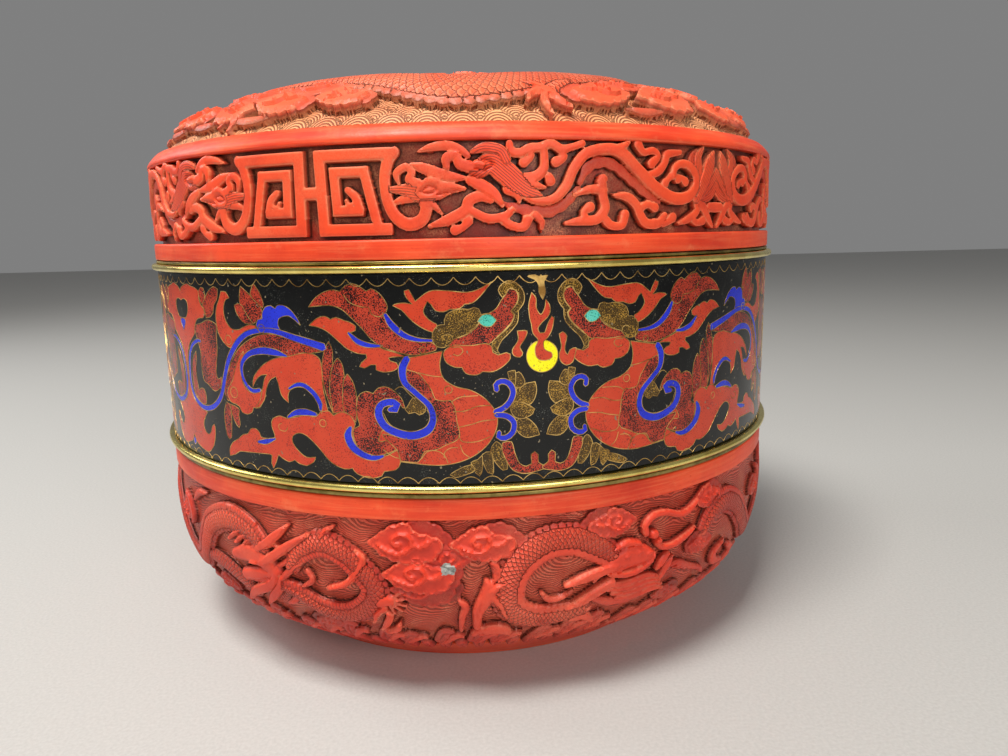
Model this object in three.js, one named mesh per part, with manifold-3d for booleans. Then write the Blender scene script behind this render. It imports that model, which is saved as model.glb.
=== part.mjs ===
// A round lidded box, 250 mm across and 201 mm tall. A carved red lacquer lid and
// bowl close on a cloisonné wall between them, and every joint is bound in brass.
// Millimetres, +Z up, origin at the middle of the underside.

import * as THREE from 'three';
import { mergeVertices } from 'three/addons/utils/BufferGeometryUtils.js';
import Module from 'manifold-3d';

const wasm = await Module();
wasm.setup();

// ---------------------------------------------------------------- sizes

const SEGMENTS = 32; // facets round each turned piece
const GAP = 0.3; // clearance between two pieces that touch
const BEAD_RADIUS = 125; // outside of the brass beads
const WALL_RADIUS = 123; // outside of the cloisonné wall
const RIM_RADIUS = 123.3; // plain lacquer rims

const FOOT_RADIUS = 86.5; // outside of the ring that the box stands on
const FOOT_WIDTH = 7;
const FOOT_RECESS = 2; // underside inside the foot ring
const FLOOR_TOP = 8; // inside floor of the bowl
const LACQUER_WALL = 5.5; // ground of the carving to the inside

const BOWL_CARVING_TOP = 64.6; // the plain band of the bowl is above this
const BOWL_TOP = 71.2;
const BASE_RIM_TOP = 72.7;
const LOWER_BEAD_BOTTOM = 73.3;
const BEAD_HEIGHT = 2.2;
const LID_RIM_BOTTOM = 139.5;
const LID_BOTTOM = 140.6;

const COLLAR_RADIUS = 119.2; // collars that centre the bowl and the lid on the wall
const COLLAR_WALL = 2.8;
const COLLAR_REACH = 7; // how far a collar stands into the bowl and the lid

const FRIEZE_BOTTOM = 146.2;
const FRIEZE_TOP = 172;
const FRIEZE_GROUND = 120.2; // radius of the sunk ground
const SHOULDER_TOP = 177.3; // where the rounded rim meets the dome
const SHOULDER_RADIUS = 120.4;

const FRIEZE_PHASE = -20.5; // degrees to the bar between two square spirals
const FRIEZE_RELIEF = WALL_RADIUS - FRIEZE_GROUND;
const BOWL_RELIEF = 2.6;
const DOME_RELIEF = 2.6;
const ROOT = 1.4; // how deep a carved form starts below its ground
const TAPER = 0.72; // width of a carved form's top over its foot

// ---------------------------------------------------------------- helpers

const vec = (x, y) => new THREE.Vector2(x, y);
const radians = THREE.MathUtils.degToRad;

// A closed solid turned about Z from a profile of (radius, height) points that runs
// up the outside and down the inside.
function turned(profile) {
  return new THREE.LatheGeometry(profile, SEGMENTS).rotateX(Math.PI / 2);
}

// Points of the parallel to a smooth outline, `inset` mm inside it.
function parallel(curve, inset, steps, from = 0, to = 1) {
  return Array.from({ length: steps + 1 }, (_, i) => {
    const t = from + ((to - from) * i) / steps;
    const point = curve.getPointAt(t);
    const along = curve.getTangentAt(t);
    return vec(Math.max(point.x + along.y * inset, 0), point.y - along.x * inset);
  });
}

// A carved ground laid flat: (mm round the box, mm down the outline, mm proud) to a
// point in space. The outline runs down the outside, so its outward side is (-dz, dr).
function wrappedGround(curve) {
  const length = curve.getLength();
  return (around, along, proud) => {
    const t = THREE.MathUtils.clamp(along / length, 0, 1);
    const point = curve.getPointAt(t);
    const tangent = curve.getTangentAt(t);
    const radius = point.x - tangent.y * proud;
    const turn = around / RIM_RADIUS;
    return [radius * Math.sin(turn), -radius * Math.cos(turn), point.y + tangent.x * proud];
  };
}

// The dome's ground seen from above: (mm right, mm towards the front, mm proud) to a
// point in space.
function planGround(curve) {
  return (right, front, proud) => {
    const t = paramAt(curve, Math.hypot(right, front));
    const point = curve.getPointAt(t);
    const tangent = curve.getTangentAt(t);
    const spread = 1 - (tangent.y * proud) / Math.max(point.x, 1);
    return [right * spread, -front * spread, point.y + tangent.x * proud];
  };
}

// Where along an outline, from 0 to 1, it reaches the given radius.
function paramAt(curve, radius) {
  let low = 0;
  let high = 1;
  for (let i = 0; i < 24; i += 1) {
    const middle = (low + high) / 2;
    if (curve.getPointAt(middle).x < radius) low = middle;
    else high = middle;
  }
  return low;
}

// A carved ribbon, claw, leaf or body: a bar that follows `path`, each point being
// [u, w, width] in mm, with mitred corners and sides that lean in to a flat top.
function ribbon(ground, path, relief) {
  const last = path.length - 1;
  const flat = path.map(([u, w]) => vec(u, w));
  const positions = [];
  path.forEach(([u, w, width], i) => {
    const before = flat[Math.max(i, 1)].clone().sub(flat[Math.max(i, 1) - 1]).normalize();
    const after = flat[Math.min(i + 1, last)].clone().sub(flat[Math.min(i, last - 1)]).normalize();
    const middle = before.clone().add(after).normalize();
    const reach = width / 2 / Math.max(middle.dot(before), 0.6);
    const section = [[-1, -ROOT], [1, -ROOT], [TAPER, relief], [-TAPER, relief]];
    for (const [side, proud] of section) {
      const out = side * reach;
      positions.push(...ground(u - middle.y * out, w + middle.x * out, proud));
    }
  });
  const indices = [0, 1, 2, 0, 2, 3];
  for (let i = 0; i < last; i += 1) {
    for (let k = 0; k < 4; k += 1) {
      const a = 4 * i + k;
      const b = 4 * i + ((k + 1) % 4);
      indices.push(a, a + 4, b, b, a + 4, b + 4);
    }
  }
  const end = 4 * last;
  indices.push(end, end + 2, end + 1, end, end + 3, end + 2);
  const geometry = new THREE.BufferGeometry();
  geometry.setAttribute('position', new THREE.Float32BufferAttribute(positions, 3));
  geometry.setIndex(indices);
  return geometry;
}

// A path of [degrees, along, width] in mm, `turn` degrees on, or mirrored across 0.
function placed(path, turn, mirror = 1) {
  return path.map(([angle, along, width]) => [radians(turn + mirror * angle) * RIM_RADIUS, along, width]);
}

function manifoldOf(geometry) {
  const bare = geometry.clone();
  bare.deleteAttribute('normal');
  bare.deleteAttribute('uv');
  const merged = mergeVertices(bare, 1e-4);
  return new wasm.Manifold(new wasm.Mesh({
    numProp: 3,
    vertProperties: new Float32Array(merged.attributes.position.array),
    triVerts: new Uint32Array(merged.index.array),
  }));
}

// The turned body with all of its carving joined on as one solid.
function carved(body, forms) {
  let solid = manifoldOf(body);
  for (const form of forms) solid = solid.add(manifoldOf(form));
  const mesh = solid.getMesh();
  const geometry = new THREE.BufferGeometry();
  geometry.setAttribute('position', new THREE.Float32BufferAttribute(mesh.vertProperties, 3));
  geometry.setIndex(Array.from(mesh.triVerts));
  geometry.computeVertexNormals();
  return geometry;
}

function piece(name, geometry, material) {
  const mesh = new THREE.Mesh(geometry, material);
  mesh.name = name;
  return mesh;
}

// ---------------------------------------------------------------- materials

const redLacquer = new THREE.MeshStandardMaterial({ color: 0xc8402c, roughness: 0.5, metalness: 0 });
const brightBrass = new THREE.MeshStandardMaterial({ color: 0xc8a24a, roughness: 0.25, metalness: 1 });
const dullBrass = new THREE.MeshStandardMaterial({ color: 0x8a7440, roughness: 0.5, metalness: 1 });
const blackEnamel = new THREE.MeshStandardMaterial({ color: 0x14120f, roughness: 0.2, metalness: 0 });

// ---------------------------------------------------------------- bowl

// Ground of the bowl's carving, from under the plain band down to the foot.
const bowlGround = new THREE.SplineCurve([
  vec(121.3, BOWL_CARVING_TOP),
  vec(121.5, 52),
  vec(120.1, 39),
  vec(116.3, 28.3),
  vec(111, 21.4),
  vec(102, 14.2),
  vec(92.4, 6.8),
  vec(FOOT_RADIUS + 0.4, 2.2),
]);

// Inside of the bowl: a rabbet for the wall's collar, a straight side and a round turn to the floor.
function bowlInside() {
  const side = COLLAR_RADIUS - COLLAR_WALL;
  const seat = BASE_RIM_TOP - COLLAR_REACH - GAP;
  const curve = parallel(bowlGround, LACQUER_WALL, 3, 0.16, 0.8);
  return [
    vec(COLLAR_RADIUS + GAP, BOWL_TOP),
    vec(COLLAR_RADIUS + GAP, seat),
    vec(side, seat),
    ...curve.filter((point) => point.y > FLOOR_TOP && point.x < side),
    vec(FOOT_RADIUS - FOOT_WIDTH, FLOOR_TOP),
    vec(0, FLOOR_TOP),
  ];
}

function bowlBody() {
  const outside = parallel(bowlGround, 0, 6).reverse();
  return turned([
    vec(0, FOOT_RECESS),
    vec(FOOT_RADIUS - FOOT_WIDTH, FOOT_RECESS),
    vec(FOOT_RADIUS - FOOT_WIDTH, 0),
    vec(FOOT_RADIUS, 0),
    ...outside,
    vec(RIM_RADIUS, BOWL_CARVING_TOP),
    vec(RIM_RADIUS, BOWL_TOP),
    ...bowlInside(),
  ]);
}

// One third of the bowl: dragons and clouds, each form a list of [angle, along, width].
const BOWL_UNIT = [
  [[5, 34, 8], [5.5, 15, 9], [13, 6.5, 8], [19, 14, 7]],
  [[6, 35, 7], [17, 25, 6]],
  [[19, 21, 12], [27.5, 18, 9]],
  [[26.5, 14, 3], [28, 7, 3], [36, 6, 1.5]],
  [[1.5, 15, 4], [-1, 37, 4]],
  [[-15, 31, 7], [-17, 13, 8], [-26, 12, 7]],
  [[-18, 33, 8], [-28, 30, 5]],
  [[-39, 23, 9], [-30, 26, 8]],
  [[-33, 16, 6], [-26, 6, 2.5]],
  [[-38, 34, 7], [-50, 27, 8], [-46, 11, 9], [-36, 10, 7]],
  [[40, 19, 8], [46, 10, 9], [56, 28, 7]],
];

// Ruyi clouds of the same third, [angle, along, size]. Each is a low lozenge here.
const BOWL_CLOUDS = [[-9.2, 7, 9], [1, 7.5, 9], [-7.6, 19, 12], [19.5, 6, 7]];
const CLOUD_REACH = 4.4; // half a cloud's length in degrees for a size of 9 mm

function cloud(angle, along, size) {
  const reach = (CLOUD_REACH * size) / 9;
  return [[angle - reach, along, size * 0.3], [angle, along, size], [angle + reach, along, size * 0.3]];
}

function bowlCarving() {
  const ground = wrappedGround(bowlGround);
  const forms = [];
  for (let third = 0; third < 3; third += 1) {
    const turn = 120 * third;
    for (const path of BOWL_UNIT) forms.push(ribbon(ground, placed(path, turn), BOWL_RELIEF));
    for (const [angle, along, size] of BOWL_CLOUDS) {
      forms.push(ribbon(ground, placed(cloud(angle, along, size), turn), BOWL_RELIEF));
    }
  }
  return forms;
}

// ---------------------------------------------------------------- wall and brass

// Ring of rectangular section.
function flatRing(inner, outer, bottom, top) {
  return turned([vec(inner, bottom), vec(outer, bottom), vec(outer, top), vec(inner, top), vec(inner, bottom)]);
}

// Brass bead: a flat-backed ring with a half-round face.
function beadRing(bottom) {
  const inner = COLLAR_RADIUS + GAP;
  const half = BEAD_HEIGHT / 2;
  const centre = BEAD_RADIUS - half;
  const face = [-90, 0, 90].map((angle) => vec(
    centre + half * Math.cos(radians(angle)),
    bottom + half + half * Math.sin(radians(angle)),
  ));
  return turned([vec(inner, bottom), ...face, vec(inner, bottom + BEAD_HEIGHT), vec(inner, bottom)]);
}

const UPPER_BEAD_BOTTOM = LID_RIM_BOTTOM - GAP - BEAD_HEIGHT;
const WALL_BOTTOM = LOWER_BEAD_BOTTOM + BEAD_HEIGHT + GAP;
const WALL_TOP = UPPER_BEAD_BOTTOM - GAP;

// Cloisonné wall with its two locating collars, one body.
function wallBody() {
  const inner = COLLAR_RADIUS - COLLAR_WALL;
  const foot = BASE_RIM_TOP - COLLAR_REACH;
  const head = LID_RIM_BOTTOM + COLLAR_REACH;
  return turned([
    vec(inner, foot),
    vec(COLLAR_RADIUS, foot),
    vec(COLLAR_RADIUS, WALL_BOTTOM),
    vec(WALL_RADIUS, WALL_BOTTOM),
    vec(WALL_RADIUS, WALL_TOP),
    vec(COLLAR_RADIUS, WALL_TOP),
    vec(COLLAR_RADIUS, head),
    vec(inner, head),
    vec(inner, foot),
  ]);
}

// ---------------------------------------------------------------- lid

// Ground of the dome's carving, from the middle out to the rounded rim.
const domeGround = new THREE.SplineCurve([
  vec(0, 198.5),
  vec(35, 198.5),
  vec(63, 197.4),
  vec(87, 193.2),
  vec(103, 187.4),
  vec(112.5, 181.6),
  vec(SHOULDER_RADIUS - 3.2, SHOULDER_TOP),
]);

// Ground of the frieze, straight down.
const friezeGround = new THREE.SplineCurve([
  vec(FRIEZE_GROUND, FRIEZE_TOP),
  vec(FRIEZE_GROUND, FRIEZE_BOTTOM),
]);

function lidBody() {
  const side = COLLAR_RADIUS - COLLAR_WALL;
  const seat = LID_RIM_BOTTOM + COLLAR_REACH + GAP;
  const outside = parallel(domeGround, 0, 5).reverse();
  const inside = parallel(domeGround, LACQUER_WALL, 3, 0, 0.84);
  return turned([
    ...[vec(side, seat), vec(COLLAR_RADIUS + GAP, seat), vec(COLLAR_RADIUS + GAP, LID_BOTTOM)],
    vec(RIM_RADIUS, LID_BOTTOM),
    vec(RIM_RADIUS, FRIEZE_BOTTOM),
    vec(FRIEZE_GROUND, FRIEZE_BOTTOM),
    vec(FRIEZE_GROUND, FRIEZE_TOP),
    vec(WALL_RADIUS, FRIEZE_TOP),
    vec(WALL_RADIUS - 0.4, FRIEZE_TOP + 3.2),
    vec(SHOULDER_RADIUS, SHOULDER_TOP),
    ...outside,
    ...inside,
    vec(FRIEZE_GROUND - LACQUER_WALL, FRIEZE_TOP),
    vec(side, seat + 4),
    vec(side, seat),
  ]);
}

// Half of the frieze's unit, 60 degrees between two mirror lines. Angle 0 is the bar
// that joins two square spirals, angle 60 the spread feathers. [angle, along, width].
const FRIEZE_UNIT = [
  [[0, 12.8, 3], [1.5, 12.8, 3]],
  [[1.5, 23.4, 2.8], [1.5, 2.2, 2.8], [11.7, 2.2, 2.4], [9.9, 12, 2.8], [12.6, 21.4, 2.6], [15.6, 17.4, 1.6]],
  [[2.7, 22.4, 2.6], [9.9, 22.4, 2.6], [8.1, 6.6, 2.6], [3.4, 6.6, 2.6], [3.4, 17.6, 2.4], [6.4, 17.6, 2.4]],
  [[12, 10, 5], [20, 11.6, 2]],
  [[19, 4, 4], [23, 7, 7], [27, 13, 6]],
  [[27, 15, 3], [32.4, 15.6, 4], [37, 3.8, 3.6], [42, 4, 3.6], [48.4, 14.4, 4.2], [53.4, 14.6, 3.6], [53, 6, 2.6]],
  [[16.4, 21.6, 2], [24, 16, 2.8]],
  [[38.8, 22, 3.4], [38.4, 13.6, 2.6]],
  [[43, 17, 2.6], [50.6, 23, 2.2]],
  [[55, 17, 3], [55.6, 1.4, 3]],
  [[55.4, 17, 3], [60, 7, 5]],
];

function friezeCarving() {
  const ground = wrappedGround(friezeGround);
  const forms = [];
  for (let turn = 0; turn < 360; turn += 120) {
    for (const mirror of [1, -1]) {
      for (const path of FRIEZE_UNIT) {
        forms.push(ribbon(ground, placed(path, turn + FRIEZE_PHASE, mirror), FRIEZE_RELIEF));
      }
    }
  }
  return forms;
}

// Half of the dome's carving from above, [right, front, width]: a dragon's body and its
// head by the pearl. The other half is the same, turned 180 degrees.
const DOME_UNIT = [
  [[-68, 44, 7], [-44, 86, 15], [-4, 102, 17], [46, 80, 17], [44, 36, 15], [10, 26, 13], [-14, 34, 12]],
  [[-12, 33, 12], [-38, 30, 16]],
];
// Ruyi clouds of the same half, [right, front, length].
const DOME_CLOUDS = [[-60, 86, 24], [70, 84, 24], [96, 40, 24]];
const DOME_PEARL = 9;

function domeCarving() {
  const ground = planGround(domeGround);
  const forms = [];
  for (const half of [1, -1]) {
    const onHalf = ([x, y, width]) => [half * x, half * y, width];
    for (const path of DOME_UNIT) forms.push(ribbon(ground, path.map(onHalf), DOME_RELIEF));
    for (const [x, y, size] of DOME_CLOUDS) {
      const reach = size / 2 / Math.hypot(x, y);
      const path = [[-1, 0.25], [0, 0.6], [1, 0.25]].map(([side, part]) => [
        x - side * reach * y,
        y + side * reach * x,
        size * part,
      ]);
      forms.push(ribbon(ground, path.map(onHalf), DOME_RELIEF));
    }
  }
  const pearlTop = domeGround.getPointAt(0).y + DOME_RELIEF;
  const pearl = new THREE.CylinderGeometry(DOME_PEARL * TAPER, DOME_PEARL, DOME_RELIEF + ROOT, 10);
  forms.push(pearl.rotateX(Math.PI / 2).translate(0, 0, pearlTop - (DOME_RELIEF + ROOT) / 2));
  return forms;
}

// ---------------------------------------------------------------- the box

const group = new THREE.Group();
group.add(
  piece('base_bowl', carved(bowlBody(), bowlCarving()), redLacquer),
  piece('base_brass_rim', flatRing(COLLAR_RADIUS + GAP, RIM_RADIUS, BOWL_TOP + GAP, BASE_RIM_TOP), dullBrass),
  piece('band_lower_bead', beadRing(LOWER_BEAD_BOTTOM), brightBrass),
  piece('cloisonne_band', wallBody(), blackEnamel),
  piece('band_upper_bead', beadRing(UPPER_BEAD_BOTTOM), brightBrass),
  piece('lid_brass_rim', flatRing(COLLAR_RADIUS + GAP, RIM_RADIUS, LID_RIM_BOTTOM, LID_BOTTOM - GAP), dullBrass),
  piece('lid', carved(lidBody(), [...friezeCarving(), ...domeCarving()]), redLacquer),
);

export default group;
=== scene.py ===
"""The looks of a round lidded box: a carved red lacquer lid and bowl, and between
them a cloisonné wall bound with brass. Metres, +Z up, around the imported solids."""

import bpy
import numpy as np
from mathutils import Matrix, Vector
from mathutils.geometry import delaunay_2d_cdt


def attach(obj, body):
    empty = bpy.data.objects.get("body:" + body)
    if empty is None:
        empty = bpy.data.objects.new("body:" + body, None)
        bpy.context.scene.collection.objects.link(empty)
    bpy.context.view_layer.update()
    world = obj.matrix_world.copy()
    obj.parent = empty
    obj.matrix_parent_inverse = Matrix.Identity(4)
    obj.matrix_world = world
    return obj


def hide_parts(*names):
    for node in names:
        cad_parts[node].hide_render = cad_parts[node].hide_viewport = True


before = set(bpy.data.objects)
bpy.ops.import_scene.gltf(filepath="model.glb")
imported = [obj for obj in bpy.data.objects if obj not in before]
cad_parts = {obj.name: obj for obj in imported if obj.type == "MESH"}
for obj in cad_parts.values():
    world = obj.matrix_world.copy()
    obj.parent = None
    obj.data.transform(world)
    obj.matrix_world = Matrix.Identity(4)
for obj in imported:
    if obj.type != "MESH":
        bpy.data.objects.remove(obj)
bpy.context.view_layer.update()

MM = 0.001

# ------------------------------------------------------------------ camera
# A hand-held camera close in front of the box and a little above it, looking down
# across the lid, with the box in the middle of its frame.

LENS = 27.04
EYE = Vector((0.0, -0.33394, 0.14684))
PITCH, YAW, ROLL = 0.1873, 0.0447, -0.0229

ahead = Vector((np.sin(YAW) * np.cos(PITCH), np.cos(YAW) * np.cos(PITCH), -np.sin(PITCH)))
level = Vector((np.cos(YAW), -np.sin(YAW), 0.0))
above = level.cross(ahead)
right = np.cos(ROLL) * level + np.sin(ROLL) * above
upward = -np.sin(ROLL) * level + np.cos(ROLL) * above

camera_data = bpy.data.cameras.new("camera")
camera_data.lens = LENS
camera_data.sensor_width = 36.0
camera_data.clip_start = 0.01
camera = bpy.data.objects.new("camera", camera_data)
bpy.context.scene.collection.objects.link(camera)
camera.matrix_world = Matrix.Translation(EYE) @ Matrix((right, upward, -ahead)).transposed().to_4x4()
bpy.context.scene.camera = camera

# ------------------------------------------------------------------ floor and light
# A pale seamless floor, a large soft light high in front on the left, a weaker one
# on the right, and an even pale room around them.

FLOOR_COLOUR = (0.50, 0.50, 0.49)
FLOOR_REACH = 4.0


def srgb(red, green, blue):
    """Scene-linear colour of a display colour given in parts of 255."""
    part = np.array([red, green, blue]) / 255.0
    linear = np.where(part <= 0.04045, part / 12.92, ((part + 0.055) / 1.055) ** 2.4)
    return (*linear.tolist(), 1.0)


def mesh_piece(name, corners, faces, material, body="root"):
    """A named mesh object at the origin from corner positions in metres and faces: one
    array of faces with equally many sides, or a list of such arrays."""
    mesh = bpy.data.meshes.new(name)
    groups = [np.asarray(group) for group in (faces if isinstance(faces, list) else [faces])]
    sides = np.concatenate([np.full(len(group), group.shape[1]) for group in groups])
    loops = np.concatenate([group.ravel() for group in groups])
    mesh.vertices.add(len(corners))
    mesh.vertices.foreach_set("co", np.asarray(corners, np.float32).ravel())
    mesh.loops.add(len(loops))
    mesh.loops.foreach_set("vertex_index", loops.astype(np.int32))
    mesh.polygons.add(len(sides))
    mesh.polygons.foreach_set("loop_start", (np.cumsum(sides) - sides).astype(np.int32))
    mesh.update(calc_edges=True)
    mesh.validate()
    mesh.shade_smooth()
    made = bpy.data.objects.new(name, mesh)
    bpy.context.scene.collection.objects.link(made)
    if material is not None:
        mesh.materials.append(material)
    if body:
        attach(made, body)
    return made


def new_material(name, colour, roughness, metallic=0.0):
    """A material with its shader; its parts are added through the node helpers."""
    made = bpy.data.materials.new(name)
    made.use_nodes = True
    shader = made.node_tree.nodes["Principled BSDF"]
    shader.inputs["Base Color"].default_value = colour
    shader.inputs["Roughness"].default_value = roughness
    shader.inputs["Metallic"].default_value = metallic
    return made, made.node_tree, shader


def node(tree, kind, inputs=(), **settings):
    """Adds a node; `inputs` maps a socket's name or number to a value or an output."""
    made = tree.nodes.new(kind)
    for key, value in settings.items():
        setattr(made, key, value)
    for key, value in dict(inputs).items():
        if isinstance(value, bpy.types.NodeSocket):
            tree.links.new(value, made.inputs[key])
        else:
            made.inputs[key].default_value = value
    return made


def math(tree, operation, first, second=0.0):
    """Output of a Math node."""
    return node(tree, "ShaderNodeMath", {0: first, 1: second}, operation=operation).outputs[0]


def plus(tree, first, second):
    """Output of the sum of two values."""
    return math(tree, "ADD", first, second)


def minus(tree, first, second):
    """Output of the first value less the second."""
    return math(tree, "SUBTRACT", first, second)


def times(tree, first, second):
    """Output of the product of two values."""
    return math(tree, "MULTIPLY", first, second)


def off_half(tree, value):
    """Distance from a half of what follows a value's point: |fract(value) - 0.5|."""
    return math(tree, "ABSOLUTE", minus(tree, math(tree, "FRACT", value), 0.5))


def ramp(tree, factor, stops):
    """Output of a colour ramp through (position, colour) stops."""
    made = node(tree, "ShaderNodeValToRGB", {0: factor})
    points = made.color_ramp.elements
    while len(points) < len(stops):
        points.new(1.0)
    for point, (position, colour) in zip(points, stops):
        point.position = position
        point.color = colour if hasattr(colour, "__len__") else (colour, colour, colour, 1.0)
    return made.outputs[0]


def blend_colour(tree, factor, first, second):
    """Colour output of a Mix node: the first colour, and the second where factor is 1."""
    made = node(tree, "ShaderNodeMix", data_type="RGBA", blend_type="MIX")
    for socket, value in ((made.inputs[0], factor), (made.inputs[6], first), (made.inputs[7], second)):
        if isinstance(value, bpy.types.NodeSocket):
            tree.links.new(value, socket)
        else:
            socket.default_value = value
    return made.outputs[2]


def place(tree):
    """Object coordinates, in metres."""
    return node(tree, "ShaderNodeTexCoord").outputs["Object"]


def noise(tree, scale, detail=3.0, roughness=0.55, vector=None):
    """Fac output of a noise texture on Object coordinates."""
    return node(tree, "ShaderNodeTexNoise", {
        "Vector": vector or place(tree), "Scale": scale, "Detail": detail, "Roughness": roughness,
    }).outputs[0]


def bump(tree, shader, height, distance, strength=1.0, normal=None):
    """Adds a bump to the shader's normal and returns it for another to build on."""
    inputs = {"Strength": strength, "Distance": distance, "Height": height}
    if normal is not None:
        inputs["Normal"] = normal
    made = node(tree, "ShaderNodeBump", inputs).outputs[0]
    tree.links.new(made, shader.inputs["Normal"])
    return made


floor_finish, tree, shader = new_material("floor_finish", (*FLOOR_COLOUR, 1.0), 0.85)
grain = noise(tree, 900.0, 2.0)
tree.links.new(ramp(tree, grain, [(0.3, srgb(182, 181, 178)), (0.7, srgb(192, 191, 188))]),
               shader.inputs["Base Color"])
bump(tree, shader, grain, 0.0002, 0.3)
floor = mesh_piece("floor", FLOOR_REACH * np.array([(-1, -1, 0), (1, -1, 0), (1, 1, 0), (-1, 1, 0)]),
                   np.array([(0, 1, 2, 3)]), floor_finish, body=None)


def soft_light(name, spot, size, power, colour=(1.0, 1.0, 1.0), aim=(0.0, 0.0, 0.1)):
    """A square area light at `spot` that faces `aim`."""
    data = bpy.data.lights.new(name, "AREA")
    data.size = size
    data.energy = power
    data.color = colour
    made = bpy.data.objects.new(name, data)
    made.location = spot
    made.rotation_euler = (Vector(aim) - Vector(spot)).to_track_quat("-Z", "Y").to_euler()
    bpy.context.scene.collection.objects.link(made)
    return made


soft_light("key_light", (-0.30, -0.50, 1.30), 0.45, 20.0, (1.0, 0.97, 0.92))
soft_light("fill_light", (0.45, -1.30, 0.60), 0.7, 8.0, (1.0, 0.98, 0.95))
soft_light("rim_light", (-1.1, 0.35, 0.75), 0.5, 5.0)

world = bpy.data.worlds.new("room")
world.use_nodes = True
world.node_tree.nodes["Background"].inputs[0].default_value = (0.82, 0.82, 0.82, 1.0)
world.node_tree.nodes["Background"].inputs[1].default_value = 0.26
bpy.context.scene.world = world
bpy.context.scene.view_settings.view_transform = "Standard"

# ------------------------------------------------------------------ lid frieze
# The upright side of the lid: two dragons and a pair of square spirals, pierced down
# to a sunk ground in cinnabar lacquer and repeated three times, mirrored each time.

RIM_RADIUS = 123.3
FRIEZE_GROUND = 120.2
FRIEZE_TOP = 172.0
FRIEZE_BOTTOM = 146.2
FRIEZE_RELIEF = 2.75
FRIEZE_LINE = 173.9  # heights on the frieze are counted down from here
BAR_ANGLE = -20.5  # the bar between two square spirals
FRIEZE_CELL = 0.47
SCROLL_WIDEST = 2.3
FRIEZE_DOME = 0.16  # how round the tops are
FRIEZE_SWELL, BAR_SWELL = 0.25, 1.22  # mm that wide ribbons gain, and a factor for the bars
REPEATS = 3  # of each carving round the box
SKIN_PLAIN, SKIN_SCALES, SKIN_COMB, SKIN_RIBS = 0.0, 1.0, 2.0, 3.0
SKIN_BACK = -0.5


def curve_through(points, step=0.35):
    """Rows of a smooth curve through the given rows, about `step` mm apart: on each
    span the Catmull-Rom cubic of its four nearest rows."""
    rows = np.asarray(points, float)
    if len(rows) == 2:
        count = max(int(np.hypot(*(rows[1] - rows[0])[:2]) / step), 1)
        part = np.linspace(0, 1, count + 1)[:, None]
        return rows[0] * (1 - part) + rows[1] * part
    ends = np.vstack([2 * rows[0] - rows[1], rows, 2 * rows[-1] - rows[-2]])
    spans = []
    for p0, p1, p2, p3 in zip(ends[:-3], ends[1:-2], ends[2:-1], ends[3:]):
        t = np.linspace(0, 1, max(int(np.hypot(*(p2 - p1)[:2]) / step), 1) + 1)[:-1, None]
        spans.append(0.5 * (2 * p1 + (p2 - p0) * t + (2 * p0 - 5 * p1 + 4 * p2 - p3) * t ** 2
                            + (3 * p1 - p0 - 3 * p2 + p3) * t ** 3))
    return np.vstack(spans + [rows[-1:]])


def directions(rows):
    """Unit vectors along a line: the gradient of its rows over its own length."""
    run = np.gradient(rows, axis=0)
    return run / np.maximum(np.hypot(run[:, 0], run[:, 1]), 1e-9)[:, None]


def lengths(rows):
    """Distance along a line at each of its rows: the running sum of the gaps."""
    return np.concatenate([[0], np.cumsum(np.hypot(*np.diff(rows, axis=0).T))])


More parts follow.
